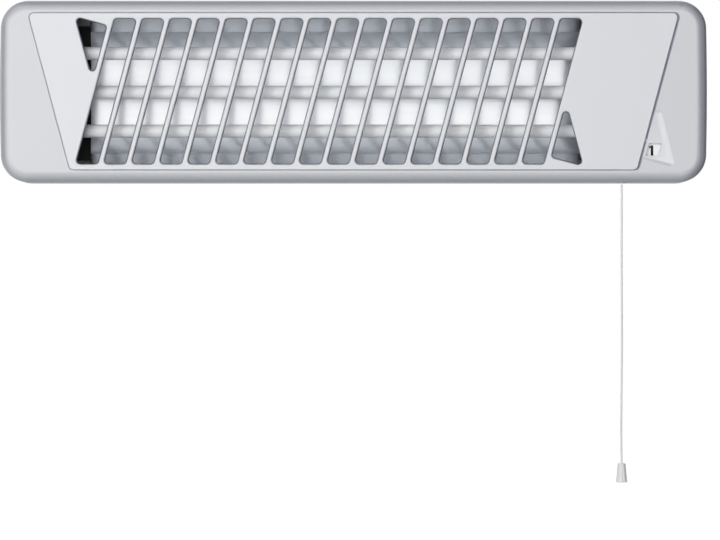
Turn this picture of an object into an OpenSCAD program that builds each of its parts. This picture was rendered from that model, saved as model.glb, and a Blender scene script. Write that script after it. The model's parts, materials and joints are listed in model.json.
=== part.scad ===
// Quartz infrared heater for a bathroom wall: a housing that tilts on a wall bracket,
// three quartz tubes behind a slanted grille, and a pull cord switch with a number dial.
// The origin lies on the wall, midway between the two wall screws. X points to the right
// as one faces the heater, Y points into the wall and Z points up.

/* [Housing] */
// Width of the housing
body_w = 508; // [490:1:620]
// Height of the housing
body_h = 130.5; // [130:0.5:150]
// Depth of the casing, from its rear rim to its front face
body_d = 72; // [70:1:90]
// Distance from the wall to the rear rim of the casing
wall_gap = 48; // [46:1:70]
// Radius of the four corners, seen from the front
corner_r = 20; // [16:0.5:26]
// Radius of the rounded front edge
edge_r = 8.5; // [6:0.5:8.5]
// How far the left and right sides swell in the middle
side_crown = 0.5; // [0:0.1:2]
// How much the casing narrows on each side towards the front
draft = 0.6; // [0.2:0.1:1]
// Wall of the moulded casing
wall_t = 2.5; // [2:0.1:3]

/* [Front grille] */
// Distance from the sides of the housing to the front plate's upper left and lower right ends
plate_side = 20.4; // [18:0.2:24]
// Distance from the top and bottom of the housing to the front plate
plate_top = 8.95; // [8.8:0.05:10]
// Thickness of the front plate
plate_t = 2.5; // [2:0.1:3.5]
// How far the front plate stands proud of the casing
plate_proud = 0.5; // [0.2:0.1:1]
// Gap of the seam round the front plate
seam_gap = 0.5; // [0.3:0.1:0.8]
// How much wider this gap is at the front plate's right end
seam_right = 0.8; // [0.8:0.05:0.95]
// Corner radius of the front plate
plate_corner_r = 3.5; // [2:0.5:5]
// Slant of the bars and of the plate's ends, in degrees
slant = 15; // [12:1:16]
// Distance from one bar to the next
bar_pitch = 20; // [18:0.5:20]
// Width of a bar, measured level
bar_w = 3.6; // [3:0.2:5]
// Distance from the slots to the top and bottom of the front plate
slot_end = 3.95; // [3.5:0.05:8]
// Corner radius of the slots
slot_r = 3; // [1.5:0.5:4]
// Rounding of the front edges of the bars
bar_round = 0.9; // [0.5:0.1:1.2]
// Distance from the front plate's left end to the slotted field, halfway up
field_in = 31.1; // [30:0.1:34]
// Least distance from the slotted field to the front plate's right end, halfway up
switch_side = 65; // [64:0.5:75]

/* [Corner holes and dial window] */
// Distance from the three-cornered holes to the top and bottom of the front plate
hole_end = 8.9; // [8:0.1:14]
// Corner radius of the three-cornered holes
hole_r = 2.6; // [1.5:0.1:3]
// Height of the upper hole's lowest corner over the centre line
hole_rise = 7.1; // [6:0.1:9]
// Distance from the recess's top corner back to the plate's right end
recess_in = 0.8; // [0:0.1:1.2]
// Depth of the recess of the dial window
recess_d = 0.8; // [0.4:0.1:1.2]
// Width of the dial window
window_w = 9.4; // [8:0.2:10]
// Height of the dial window
window_h = 8.8; // [7:0.2:9]

/* [Reflector and tubes] */
// Distance from the top and bottom of the housing to the reflector's lips
reflector_in = 11.25; // [10.5:0.25:13]
// How far the reflector runs past the slotted field at each end
reflector_over = 6.75; // [4:0.25:7]
// Thickness of the reflector sheet
sheet_t = 0.6; // [0.5:0.1:1]
// Outer radius of a quartz tube
tube_r = 4.75; // [4.5:0.05:5.5]
// Wall of a quartz tube
tube_wall = 1; // [0.8:0.1:1.5]
// Distance from the outer quartz tubes' axes to the creases of the reflector, in height
tube_in = 16; // [15:0.5:18]
// Distance from the casing's front face to the axes of the quartz tubes
tube_back = 28; // [26:0.5:29]
// Distance from the reflector's flat back panel to the axes of the quartz tubes
tube_stand = 20; // [18:0.5:21]
// Gap between a heating coil and the inside of its tube
coil_gap = 0.75; // [0.4:0.05:1.5]

/* [Pull cord and switch] */
// Radius of the pull cord
cord_r = 0.7; // [0.5:0.05:0.8]
// Travel of the pull cord at each pull
pull_travel = 11; // [8:0.5:11.2]
// Distance from the dial shaft to the middle of the dial window
dial_window_r = 17.6; // [17:0.1:18.4]
// Radius of the dial shaft
shaft_r = 3; // [2:0.1:3.5]
// Radius of the number dial
dial_r = 24; // [22:0.5:24]
// Outer radius of the ratchet wheel
ratchet_r = 14; // [13:0.1:14]
// Number of teeth of the ratchet wheel
tooth_count = 8; // [7:1:10]
// Height of the knob on the pull cord
knob_h = 13.6; // [10:0.2:20]
// Radius of the knob at its top
knob_top_r = 2.75; // [2.2:0.05:3]
// Radius of the knob at its bottom
knob_bottom_r = 4; // [3.5:0.1:6]

/* [Wall bracket and tilt] */
// Distance between the two wall screws
screw_spacing = 160; // [120:1:170]
// Radius of the wall screw holes
wall_hole_r = 2.6; // [2:0.1:3.5]
// Width of the wall bracket
bracket_w = 212; // [200:1:220]
// Height of the wall bracket
bracket_h = 40; // [30:1:50]
// Thickness of the bracket steel
bracket_t = 2; // [1.5:0.1:3]
// Distance from the tilt axis to the casing's rear rim
pivot_back = 14; // [13:0.5:16]
// Radius of the round end of a bracket arm
arm_r = 10; // [8:0.5:11]
// Radius of the pivot screws
pivot_r = 2.5; // [2:0.1:3]

/* [Hidden] */
$fn = 48;

// How far a cutter runs past the face that it cuts
overrun = 1;
// Clearance between parts that move past each other
running_gap = 0.3;
// Radial clearance of a shaft in its bearing
shaft_gap = 0.05;
// Clearance of a part pushed onto another
fit_gap = 0.02;

// The front plate and its slotted field
plate_w = body_w - 2 * plate_side;
plate_h = body_h - 2 * plate_top;
plate_mid = plate_w / 2 - plate_h / 2 * tan(slant);
slot_h = plate_h - 2 * slot_end;
slot_count = floor((2 * plate_mid - field_in - switch_side) / bar_pitch);
field_w = slot_count * bar_pitch;
field_x = field_in - plate_mid + field_w / 2;

// Levels, as distances from the wall
rear_y = wall_gap;
front_y = wall_gap + body_d;
plate_front_y = front_y + plate_proud;
plate_back_y = plate_front_y - plate_t;
ledge_t = 2.5;
ledge_back_y = plate_back_y - ledge_t;
cover_t = 1.2;
cover_in_y = rear_y + cover_t;

// Casing
crown_steps = 6;
arc_steps = 8;
edge_steps = 6;
inner_edge_r = edge_r - wall_t;
half_w = body_w / 2 - side_crown;
corner_x = half_w - corner_r;
corner_z = body_h / 2 - corner_r;
opening_more_w = 31;
opening_more_h = 3.3;
opening_w = field_w + opening_more_w;
opening_h = slot_h + opening_more_h;
opening_r = 3;
ledge_grow = 1.5;
post_r = 4;
post_hole_r = 1.4;
post_hole_d = 14;
post_web_t = 1.6;
corner_post_in = [14, 15];
middle_post_x = 80;
middle_post_in = 6;

// Front grille
plate_edge_r = 0.6;
round_steps = 3;
slot_w = bar_pitch - bar_w;
first_bar_x = field_in - plate_mid;
rib_inset = 0.7;
rib_w = bar_w - 2 * rib_inset;
rib_d = 2.5;
rib_short = 4;
hole_long = (plate_h / 2 - hole_rise - hole_end) / cos(slant);
hole_short = hole_long * tan(30);
hole_inradius = (hole_long + hole_short - hole_long / cos(30)) / 2;
upper_apex = [first_bar_x - bar_w / 2 + hole_rise * tan(slant), hole_rise];
lower_apex = [2 * field_x - upper_apex.x, -hole_rise];
fixing_r = 3;
fixing_short = 0.1;
fixing_hole_r = 1.2;
fixing_hole_d = 3.5;
fixing_head_r = 4;
fixing_head_h = 1.8;
fixing_in = [2.4, 9.4, 2.4, 42.1];
fixing_side_shares = [-1, -1, 1, 1];
fixing_height_shares = [0.68, -0.36, 0.68, -0.78];

// Dial window, in the recess right of the front plate
recess_apex = [plate_mid - recess_in, -hole_rise];
window_shares = [-0.0575, -0.83];
window_place = recess_apex + window_shares * hole_long;
window_angle = -63;
window_flange_t = 0.8;
window_lip = 1.6;
window_flange_w = window_w + window_h * tan(slant) / 2 + 2 * window_lip;
window_flange_h = window_h + 2 * window_lip;
window_flange_r = 1;
seat_lip = 1.5;
seat_w = window_flange_w + 2 * seat_lip;
seat_h = window_flange_h + 2 * seat_lip;
window_sink = 0.2;

// Reflector: flat in the middle, then a curve up to each crease and a straight wing
field_to_reflector = 4.15;
reflector_x = field_x + field_to_reflector;
reflector_l = field_w + 2 * reflector_over;
tube_y = front_y - tube_back;
reflector_y = tube_y - tube_stand;
wing_h = 10;
lip_h = body_h - 2 * reflector_in;
crease_h = lip_h - 2 * wing_h;
flat_share = 0.18;
bend_share = 0.59;
reflector_flat_h = flat_share * crease_h;
bend_angle = 8.6;
crease_angle = 33.4;
wing_angle = 57;
curve_steps = 6;
rear_depth = reflector_y - cover_in_y;

// Sheet brackets that carry the tubes, the reflector and the heat shield
lamp_t = 1.5;
lamp_left_out = 12;
lamp_right_out = 3;
lamp_left_x = reflector_x - reflector_l / 2 - lamp_left_out;
lamp_right_x = reflector_x + reflector_l / 2 + lamp_right_out;
lamp_in = 2;
lamp_h = lip_h - 2 * lamp_in;
lamp_front = 18;
lamp_corner_r = 6;
shelf_gap = 0.5;
shelf_in = 14;
flange_l = 12;
flange_end = 7;
flange_h = lamp_h - 2 * flange_end;
flange_screw_in = 6;
flange_screw_end = 15;
flange_screw_z = flange_h / 2 - flange_screw_end;
wire_hole_r = 4;
shield_share = 0.518;
shield_in = 6;
shield_h = lip_h - 2 * shield_in;
shield_lip = 4;
tapping_r = 1.5;
tapping_head_r = 3;
tapping_head_h = 1.6;
tapping_l = 8;
reflector_screw_in = 7;
reflector_screw_l = 4;
reflector_screw_head_r = 2.4;

// Quartz tubes, their caps and coils
tube_pitch = crease_h / 2 - tube_in;
cap_neck_wall = 1.25;
cap_neck_r = tube_r + cap_neck_wall;
cap_shoulder = 1.5;
cap_r = cap_neck_r + cap_shoulder;
cap_l = 11;
cap_end_t = 3;
pin_r = 1;
pin_out = 4;
tube_in_cap = 7;
coil_r = tube_r - tube_wall - coil_gap;
coil_short = 6;
coil_wire = 0.8;

// Rear cover, terminals and wires
vent_w = 16;
vent_h = 3.2;
vent_r = 1.5;
vent_pitch = 22;
vent_count = 12;
vent_in = [19.25, 27.25];
block_from_shaft = [7, 52];
block_w = 40;
block_h = 16;
block_t = 9;
block_r = 1;
block_poles = 4;
pole_pitch = 9;
pole_r = 2.2;
pole_d = 5;
pole_screw_r = 1.9;
pole_screw_h = 2;
grommet_from_shaft = [7, -8];
grommet_bore_r = 3.6;
grommet_r = 4.8;
grommet_flange_r = 6.6;
grommet_flange_t = 1.5;
earth_from_shaft = [31, 32];
wire_r = 1;
wire_share = 0.263;
wire_sides = 8;
wire_bend = 4;
wire_y = cover_in_y + wire_share * rear_depth;

// Switch, ratchet and dial, from the window backwards
shaft_place = window_place - dial_window_r * [cos(window_angle), sin(window_angle)];
dial_t = 1.2;
dial_y = ledge_back_y - window_flange_t - running_gap - dial_t;
hub_wall = 2;
hub_r = shaft_r + hub_wall;
hub_l = 5.2;
ratchet_t = 3;
ratchet_y = dial_y - hub_l - ratchet_t;
tooth_angle = 360 / tooth_count;
tooth_land = 4;
tooth_depth = 3.5;
slider_w = 8;
slider_t = 5;
slider_h = 2 * pull_travel;
slider_drop = 10;
slider_clear = 1.5;
cord_out = 0.3;
cord_x = shaft_place.x - ratchet_r - cord_out;
cord_y = ratchet_y - slider_clear - slider_t / 2;
slider_z = shaft_place.y - slider_drop;
pawl_gap = 0.6;
pawl_h = 3;
pawl_reach = 2.1;
pawl_nose = 1;
ferrule_r = 1.5;
ferrule_h = 3;
ferrule_up = 8;
switch_front_y = cord_y - slider_t / 2 - running_gap;
switch_room = 24.8;
switch_back_y = cover_in_y + switch_room;
switch_more = 7;
switch_w = 2 * (ratchet_r + switch_more);
switch_h = 40;
switch_r = 3;
switch_off = [0.7, 0];
ear_t = 3;
ear_r = 3.5;
ear_places = [[31, 18], [31, -8], [-27.3, 12]];
ear_screw_r = 1.2;
ear_screw_l = 9;
guide_t = 1.6;
guide_d = 4.6;
bearing_end = 4.2;
bearing_l = switch_front_y - switch_back_y - bearing_end;
tab_w = 6.3;
tab_t = 0.8;
tab_l = 7;
tab_places = [[-10, 11], [9, 11], [-10, -11], [9, -11]];
tab_y = switch_back_y - tab_l;
lead_low = 9;
lead_side = 4.6;
lead_in = 6;
spring_r = 2.2;
spring_wire_r = 0.4;
spring_turns = 8;
spring_steps = 8;
spring_sides = 6;

// Wall bracket, lugs and pivot
pivot_y = wall_gap - pivot_back;
bracket_corner_r = 4;
arm_base_end = 3;
arm_base_h = bracket_h - 2 * arm_base_end;
arm_base_r = 2;
arm_flat = 1;
washer_t = 0.5;
washer_r = 8;
lug_out_x = bracket_w / 2 - bracket_t - running_gap - washer_t;
lug_t = 2;
lug_base_l = 18;
lug_h = 24;
lug_end_r = 9;
lug_screw_in = 11;
lug_screw_z = 7;
pivot_head_r = 6;
pivot_head_t = 3.6;
nut_r = 4.6;
nut_t = 4;

// Bush and cord; the cord's route is chosen by hand from the photograph
floor_z = -body_h / 2 + draft * (cord_y - rear_y) / (body_d - edge_r);
inner_floor_z = floor_z + wall_t;
bush_r = 2.4;
bush_flange_r = 3.2;
bush_flange_t = 0.8;
bush_up = 1.5;
tail_gap = 0.08;
tail_out = 0.2;
swing_drop = 0.75;
bush_seat_gap = 0.05;
mouth_z = floor_z - bush_seat_gap - bush_flange_t;
bush_top_z = inner_floor_z + bush_up;
swing_z = mouth_z - tail_out - swing_drop;
cord_sides = 8;
cord_rings = 5;
cord_route = [[0, 0], [0, -23], [0, -54], [0.1, -83], [0.2, -111], [0.1, -128], [0, -140],
  [-0.2, -158], [-0.3, -176], [-0.2, -188], [0, -200.8], [0, -206.8]];
knob_drop = 200.8;
knob_bore_d = 8;
knob_edge_r = 0.5;
knob_flutes = 10;
knob_flute_r = 0.7;
knob_flute_out = 0.3;

function unit(v) = v / norm(v);

// An arc round the corner at v, between the points before and after it
function corner_arc(before, v, after, r, steps) =
  let (
    a = unit(before - v),
    b = unit(after - v),
    half = acos(a * b) / 2,
    centre = v + unit(a + b) * r / sin(half),
    from = v + a * r / tan(half) - centre,
    to = v + b * r / tan(half) - centre,
    start = atan2(from.y, from.x),
    turn = (atan2(to.y, to.x) - start + 360 + 180) % 360 - 180
  )
  [for (k = [0:steps]) centre + r * [cos(start + turn * k / steps), sin(start + turn * k / steps)]];

// The outline through the points with its corners rounded, alike or each by its own radius
function rounded(points, r, steps = 4) =
  let (n = len(points))
  [for (i = [0:n - 1]) each
    corner_arc(points[(i + n - 1) % n], points[i], points[(i + 1) % n], is_list(r) ? r[i] : r, steps)];

function rectangle(w, h) = [[w / 2, h / 2], [-w / 2, h / 2], [-w / 2, -h / 2], [w / 2, -h / 2]];

// A parallelogram that leans to the right by the slant
function leaning(w, h) =
  let (lean = h / 2 * tan(slant))
  [[w / 2 + lean, h / 2], [lean - w / 2, h / 2], [-w / 2 - lean, -h / 2], [w / 2 - lean, -h / 2]];

function moved(points, by) = [for (p = points) p + by];

function at_level(points, level) = [for (p = points) [p.x, p.y, level]];

// The outline of a bent sheet: a line and the same line moved to its left by the thickness
function strip(line, t) =
  let (
    n = len(line),
    way = [for (i = [0:n - 2]) unit(line[i + 1] - line[i])],
    left = [for (d = way) [-d.y, d.x]],
    side = [for (i = [0:n - 1])
      let (a = left[max(i - 1, 0)], b = left[min(i, n - 2)]) (a + b) / (1 + a * b)]
  )
  concat(line, [for (i = [n - 1:-1:0]) line[i] + t * side[i]]);

// A path with each of its bends rounded by a curve that starts a given distance before it
function bent(path, reach, steps = 3) =
  let (n = len(path))
  concat([path[0]],
    [for (i = [1:n - 2]) let (
        v = path[i],
        a = v + unit(path[i - 1] - v) * reach,
        b = v + unit(path[i + 1] - v) * reach
      )
      for (k = [0:steps]) let (s = k / steps) a * pow(1 - s, 2) + v * 2 * s * (1 - s) + b * pow(s, 2)],
    [path[n - 1]]);

// The path with each of its stretches cut into equal steps
function stepped(path, steps) =
  let (n = len(path))
  concat([for (i = [0:n - 2]) for (k = [0:steps - 1]) path[i] + (path[i + 1] - path[i]) * k / steps],
    [path[n - 1]]);

// A solid skinned over rings of equally many points, given from the rear to the front
module loft(rings) {
  n = len(rings[0]);
  last = (len(rings) - 1) * n;
  skin = [for (k = [0:len(rings) - 2]) for (i = [0:n - 1])
    let (a = k * n + i, b = k * n + (i + 1) % n)
    each [[a, a + n, b], [b, a + n, b + n]]];
  polyhedron(
    points = [for (ring = rings) each ring],
    faces = concat([[for (i = [0:n - 1]) i]], skin, [[for (i = [n - 1:-1:0]) last + i]])
  );
}

// A tube swept along a path; up is a direction that no stretch of the path runs along
module swept_tube(path, r, sides, up) {
  n = len(path);
  loft([for (i = [0:n - 1])
    let (
      way = unit(path[min(i + 1, n - 1)] - path[max(i - 1, 0)]),
      side = unit(cross(up, way)),
      top = cross(way, side)
    )
    [for (k = [0:sides - 1]) path[i] + r * (cos(360 * k / sides) * side + sin(360 * k / sides) * top)]]);
}

// Stands its children on a level, a distance from the wall, as seen from the front
module face_on(level) {
  rotate([90, 0, 0]) translate([0, 0, level]) children();
}

// Places outlines given as distance from the wall and height, centred on x
module side_on(x) {
  translate([x, 0, 0]) rotate([90, 0, -90]) children();
}

// A plate with the given outline, from one level to another
module slab(outline, from, to) {
  face_on(from) linear_extrude(to - from) polygon(outline);
}

module rod(place, r, from, to) {
  face_on(from) translate(place) cylinder(r = r, h = to - from);
}

// A pan head screw whose head stands on a level; its shank runs to the front
module screw_forward(place, level, head_r, head_h, r, l) {
  rod(place, head_r, level - head_h, level);
  rod(place, r, level, level + l);
}

function casing_side(inset, way) =
  [for (k = [1:crown_steps - 1]) let (z = way * corner_z * (2 * k / crown_steps - 1))
    [way * (half_w - inset + side_crown * (1 - pow(z / corner_z, 2))), z]];

function casing_corner(inset, x, z, from) =
  [for (k = [0:arc_steps]) let (a = from + 90 * k / arc_steps)
    [x, z] + (corner_r - inset) * [cos(a), sin(a)]];

// The casing's outline as seen from the front, drawn in by the inset
function casing_outline(inset) = concat(
  casing_side(inset, 1), casing_corner(inset, corner_x, corner_z, 0),
  casing_corner(inset, -corner_x, corner_z, 90), casing_side(inset, -1),
  casing_corner(inset, -corner_x, -corner_z, 180), casing_corner(inset, corner_x, -corner_z, 270));

// Rings that draw in over a quarter round, up to a level
function casing_edge(inset, level, r) =
  [for (k = [0:edge_steps]) let (a = 90 * k / edge_steps)
    at_level(casing_outline(inset + r * (1 - cos(a))), level - r * (1 - sin(a)))];

// The front plate's outline, grown by a distance
function plate_outline(grow) =
  let (h = plate_h / 2 + grow, mid = plate_mid + grow / cos(slant), lean = h * tan(slant))
  rounded([[mid + lean, h], [-mid - lean, h], [lean - mid, -h], [mid - lean, -h]], plate_corner_r + grow);

function slot_outline(grow) =
  rounded(leaning(slot_w + 2 * grow / cos(slant), slot_h + 2 * grow), slot_r + grow);

// A right-angled outline with its 30 degree corner at zero and its long side along the slant
function hole_outline(grow) =
  let (
    right = hole_long * [sin(slant), cos(slant)],
    far = right + hole_short * [-cos(slant), sin(slant)],
    middle = right + hole_inradius * (unit(-right) + unit(far - right)),
    scale = 1 + grow / hole_inradius
  )
  rounded([for (p = [[0, 0], right, far]) middle + (p - middle) * scale], hole_r + grow);

function turned(points) = [for (p = points) -p];

// Places of the posts that take the screws of the rear cover
corner_posts = [for (sx = [-1, 1]) for (sz = [-1, 1])
  [sx * (body_w / 2 - corner_post_in.x), sz * (body_h / 2 - corner_post_in.y)]];
middle_posts = [for (sx = [-1, 1]) for (sz = [-1, 1])
  [sx * middle_post_x, sz * (body_h / 2 - middle_post_in)]];
cover_posts = concat(corner_posts, middle_posts);
fixings = [for (k = [0:len(fixing_in) - 1])
  [fixing_side_shares[k] * (plate_mid - fixing_in[k]), fixing_height_shares[k] * plate_h / 2]];
vent_rows = [for (side = [-1, 1]) for (in = vent_in) side * (body_h / 2 - in)];
ears = [for (p = ear_places) shaft_place + p];
block_place = shaft_place + block_from_shaft;
grommet_place = shaft_place + grommet_from_shaft;
earth_place = shaft_place + earth_from_shaft;
flange_screws = [for (x = [lamp_left_x + lamp_t + flange_screw_in, lamp_right_x - flange_screw_in])
  for (side = [-1, 1]) [x, side * flange_screw_z]];
lug_screw_places = [for (sx = [-1, 1]) for (sz = [-1, 1])
  [sx * (lug_out_x - lug_screw_in), sz * lug_screw_z]];

module casing_shell() {
  difference() {
    face_on(0) loft(concat([at_level(casing_outline(0), rear_y)], casing_edge(draft, front_y, edge_r)));
    face_on(0) loft(concat([at_level(casing_outline(wall_t), rear_y - overrun)],
      casing_edge(draft + wall_t, front_y - wall_t, inner_edge_r)));
  }
}

// Posts, webs, screw bosses, the ledge of the front plate and the seat of the dial window
module casing_inside() {
  slab(plate_outline(ledge_grow), ledge_back_y, plate_back_y + overrun);
  slab(moved(rectangle(seat_w, seat_h), window_place), ledge_back_y, front_y - wall_t + overrun);
  for (p = corner_posts) {
    rod(p, post_r, cover_in_y, front_y - wall_t / 2);
    web_top = body_h / 2 - wall_t - draft;
    slab(moved(rectangle(post_web_t, web_top - abs(p.y)), [p.x, sign(p.y) * (web_top + abs(p.y)) / 2]),
      cover_in_y, front_y - edge_r);
  }
  for (p = middle_posts) rod(p, post_r, cover_in_y, ledge_back_y);
  for (p = ears) rod(p, ear_r, switch_front_y, front_y - wall_t / 2);
}

module casing() {
  color("whitesmoke") difference() {
    union() {
      casing_shell();
      casing_inside();
    }
    slab(plate_outline(seam_gap), plate_back_y, front_y + overrun);
    slab(moved(plate_outline(seam_gap), [seam_right, 0]), plate_back_y, front_y + overrun);
    slab(moved(rounded(rectangle(opening_w, opening_h), opening_r), [field_x, 0]),
      ledge_back_y - overrun, front_y);
    slab(moved(turned(hole_outline(0)), recess_apex), front_y - recess_d, front_y + overrun);
    slab(moved(leaning(window_w, window_h), window_place), ledge_back_y - overrun, front_y);
    for (p = fixings) rod(p, fixing_r + running_gap, ledge_back_y - overrun, front_y);
    for (p = cover_posts) rod(p, post_hole_r, cover_in_y - overrun, cover_in_y + post_hole_d);
    for (p = ears) rod(p, ear_screw_r, switch_front_y - overrun, switch_front_y + ear_screw_l);
    translate([cord_x, -cord_y, floor_z - overrun])
      cylinder(r = bush_r + shaft_gap, h = wall_t + 2 * overrun);
  }
}

// A cutter through the plate whose mouth widens in a quarter round at the plate's front
module plate_cutter(outlines) {
  last = len(outlines) - 1;
  loft(concat(
    [at_level(outlines[0], plate_back_y - overrun)],
    [for (k = [0:last]) at_level(outlines[k], plate_front_y - bar_round * (1 - sin(90 * k / last)))],
    [at_level(outlines[last], plate_front_y + overrun)]));
}

round_grows = [for (k = [0:round_steps]) bar_round * (1 - cos(90 * k / round_steps))];

module front_grille() {
  color("white") {
    difference() {
      face_on(0) loft(concat([at_level(plate_outline(0), plate_back_y)],
        [for (k = [0:round_steps]) let (a = 90 * k / round_steps, r = plate_edge_r)
          at_level(plate_outline(-r * (1 - cos(a))), plate_front_y - r * (1 - sin(a)))]));
      for (k = [0:slot_count - 1])
        translate([first_bar_x + (k + 0.5) * bar_pitch, 0, 0])
          face_on(0) plate_cutter([for (g = round_grows) slot_outline(g)]);
      face_on(0) plate_cutter([for (g = round_grows) moved(hole_outline(g), upper_apex)]);
      face_on(0) plate_cutter([for (g = round_grows) moved(turned(hole_outline(g)), lower_apex)]);
      for (p = fixings) rod(p, fixing_hole_r, plate_back_y - overrun, ledge_back_y + fixing_hole_d);
    }
    for (k = [1:slot_count - 1])
      slab(moved(leaning(rib_w, slot_h - 2 * rib_short), [first_bar_x + k * bar_pitch, 0]),
        plate_back_y - rib_d, plate_back_y + plate_t / 2);
    for (p = fixings) difference() {
      rod(p, fixing_r, ledge_back_y + fixing_short, plate_back_y);
      rod(p, fixing_hole_r, ledge_back_y - overrun, plate_back_y + overrun);
    }
  }
}

// The clear pane with its number window, seated behind the casing's front
module dial_window() {
  color("white") {
    slab(moved(leaning(window_w - 2 * fit_gap, window_h - 2 * fit_gap), window_place),
      ledge_back_y, front_y - recess_d - window_sink);
    slab(moved(rounded(rectangle(window_flange_w, window_flange_h), window_flange_r), window_place),
      ledge_back_y - window_flange_t, ledge_back_y);
  }
}

module rear_cover() {
  color("silver") difference() {
    slab(casing_outline(wall_t + running_gap), rear_y, cover_in_y);
    for (z = vent_rows) for (k = [0:vent_count - 1])
      slab(moved(rounded(rectangle(vent_w, vent_h), vent_r, 3), [(k - (vent_count - 1) / 2) * vent_pitch, z]),
        rear_y - overrun, cover_in_y + overrun);
    for (p = concat(cover_posts, flange_screws, lug_screw_places))
      rod(p, tapping_r + fit_gap, rear_y - overrun, cover_in_y + overrun);
    rod(grommet_place, grommet_r + fit_gap, rear_y - overrun, cover_in_y + overrun);
    rod(earth_place, tapping_r + fit_gap, rear_y - overrun, cover_in_y + overrun);
  }
}

// Pan head screws through the rear cover into the casing's posts
module cover_screws() {
  color("silver") for (p = cover_posts)
    screw_forward(p, rear_y, tapping_head_r, tapping_head_h, post_hole_r - fit_gap, cover_t + tapping_l);
}

// Washer head screws through the ledge into the studs of the front plate
module grille_screws() {
  color("silver") for (p = fixings)
    screw_forward(p, ledge_back_y, fixing_head_r, fixing_head_h, fixing_hole_r - fit_gap, fixing_hole_d);
}

// A bent steel lug on the rear cover, with the hole of the pivot screw
module pivot_lug(way) {
  color("gainsboro") difference() {
    union() {
      side_on(way * (lug_out_x - lug_t / 2)) linear_extrude(lug_t, center = true)
        polygon(rounded([[pivot_y - lug_end_r, lug_h / 2], [pivot_y - lug_end_r, -lug_h / 2],
          [rear_y, -lug_h / 2], [rear_y, lug_h / 2]], [lug_end_r, lug_end_r, bracket_t, bracket_t], 8));
      slab(moved(rectangle(lug_base_l, lug_h), [way * (lug_out_x - lug_base_l / 2), 0]),
        rear_y - lug_t, rear_y);
    }
    side_on(way * lug_out_x) translate([pivot_y, 0, 0])
      cylinder(r = pivot_r + shaft_gap, h = 4 * lug_t, center = true);
    for (p = lug_screw_places)
      rod(p, tapping_r + fit_gap, rear_y - lug_t - overrun, rear_y + overrun);
  }
}

module pivot_lug_left() {
  pivot_lug(-1);
}

module pivot_lug_right() {
  pivot_lug(1);
}

module lug_screws() {
  color("silver") for (p = lug_screw_places)
    screw_forward(p, rear_y - lug_t, tapping_head_r, tapping_head_h, tapping_r, cover_t + lug_t + tapping_r);
}

// A disc or cylinder along X between two places, on the tilt axis
module on_pivot(r, from, to) {
  side_on((from + to) / 2) translate([pivot_y, 0, 0]) cylinder(r = r, h = abs(to - from), center = true);
}

module pivot_screws() {
  out = bracket_w / 2 + running_gap;
  inner = lug_out_x - lug_t - nut_t - running_gap;
  color("dimgray") for (way = [-1, 1]) {
    on_pivot(pivot_r, way * inner, way * out);
    on_pivot(pivot_head_r, way * out, way * (out + pivot_head_t));
  }
}

module pivot_nuts() {
  from = lug_out_x - lug_t;
  color("silver") for (way = [-1, 1]) difference() {
    side_on(way * (from - nut_t / 2)) translate([pivot_y, 0, 0])
      cylinder(r = nut_r, h = nut_t, center = true, $fn = 6);
    on_pivot(pivot_r + fit_gap, way * (from - nut_t - overrun), way * (from + overrun));
  }
}

module friction_washers() {
  color("dimgray") for (way = [-1, 1]) difference() {
    on_pivot(washer_r, way * lug_out_x, way * (lug_out_x + washer_t));
    on_pivot(pivot_r + shaft_gap, way * (lug_out_x - overrun), way * (lug_out_x + washer_t + overrun));
  }
}

// A steel channel: a plate on the wall and an arm at each end
module wall_bracket() {
  tip_y = pivot_y + arm_r;
  tip_r = arm_r - arm_flat;
  arm = rounded([[0, arm_base_h / 2], [0, -arm_base_h / 2], [tip_y, -arm_r], [tip_y, arm_r]],
    [arm_base_r, arm_base_r, tip_r, tip_r], 8);
  color("gainsboro") difference() {
    union() {
      slab(rounded(rectangle(bracket_w, bracket_h), bracket_corner_r), 0, bracket_t);
      for (way = [-1, 1])
        side_on(way * (bracket_w - bracket_t) / 2) linear_extrude(bracket_t, center = true) polygon(arm);
    }
    for (way = [-1, 1]) {
      rod([way * screw_spacing / 2, 0], wall_hole_r, -overrun, bracket_t + overrun);
      on_pivot(pivot_r + shaft_gap, way * (bracket_w / 2 - 2 * bracket_t), way * (bracket_w / 2 + overrun));
    }
  }
}

// An arc from a point up to a height, whose lean from the upright grows from one angle to the other
function leaning_arc(start, top, from, to) =
  let (r = (top - start.y) / (sin(to) - sin(from)))
  [for (k = [1:curve_steps]) let (a = from + (to - from) * k / curve_steps)
    start + r * [cos(from) - cos(a), sin(a) - sin(from)]];

// The upper half of the reflector's section, as distance from the wall and height
flat_edge = [reflector_y, reflector_flat_h / 2];
inner_arc = leaning_arc(flat_edge, bend_share * crease_h / 2, 0, bend_angle);
outer_arc = leaning_arc(inner_arc[curve_steps - 1], crease_h / 2, bend_angle, crease_angle);
upper_lip = outer_arc[curve_steps - 1] + wing_h * [tan(wing_angle), 1];
reflector_half = concat([flat_edge], inner_arc, outer_arc, [upper_lip]);

// Polished sheet, hollow towards the tubes and open to the front
module reflector() {
  line = concat([for (k = [len(reflector_half) - 1:-1:0]) [reflector_half[k].x, -reflector_half[k].y]],
    reflector_half);
  color("gainsboro") difference() {
    side_on(reflector_x) linear_extrude(reflector_l, center = true) polygon(strip(line, sheet_t));
    for (p = reflector_screw_places)
      rod(p, tapping_r + fit_gap, reflector_y - sheet_t - overrun, reflector_y + overrun);
  }
}

reflector_screw_places = [for (sx = [-1, 1]) [reflector_x + sx * (reflector_l / 2 - reflector_screw_in), 0]];

module reflector_screws() {
  color("silver") for (p = reflector_screw_places) {
    rod(p, reflector_screw_head_r, reflector_y, reflector_y + tapping_head_h);
    rod(p, tapping_r, reflector_y - reflector_screw_l, reflector_y);
  }
}

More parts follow.
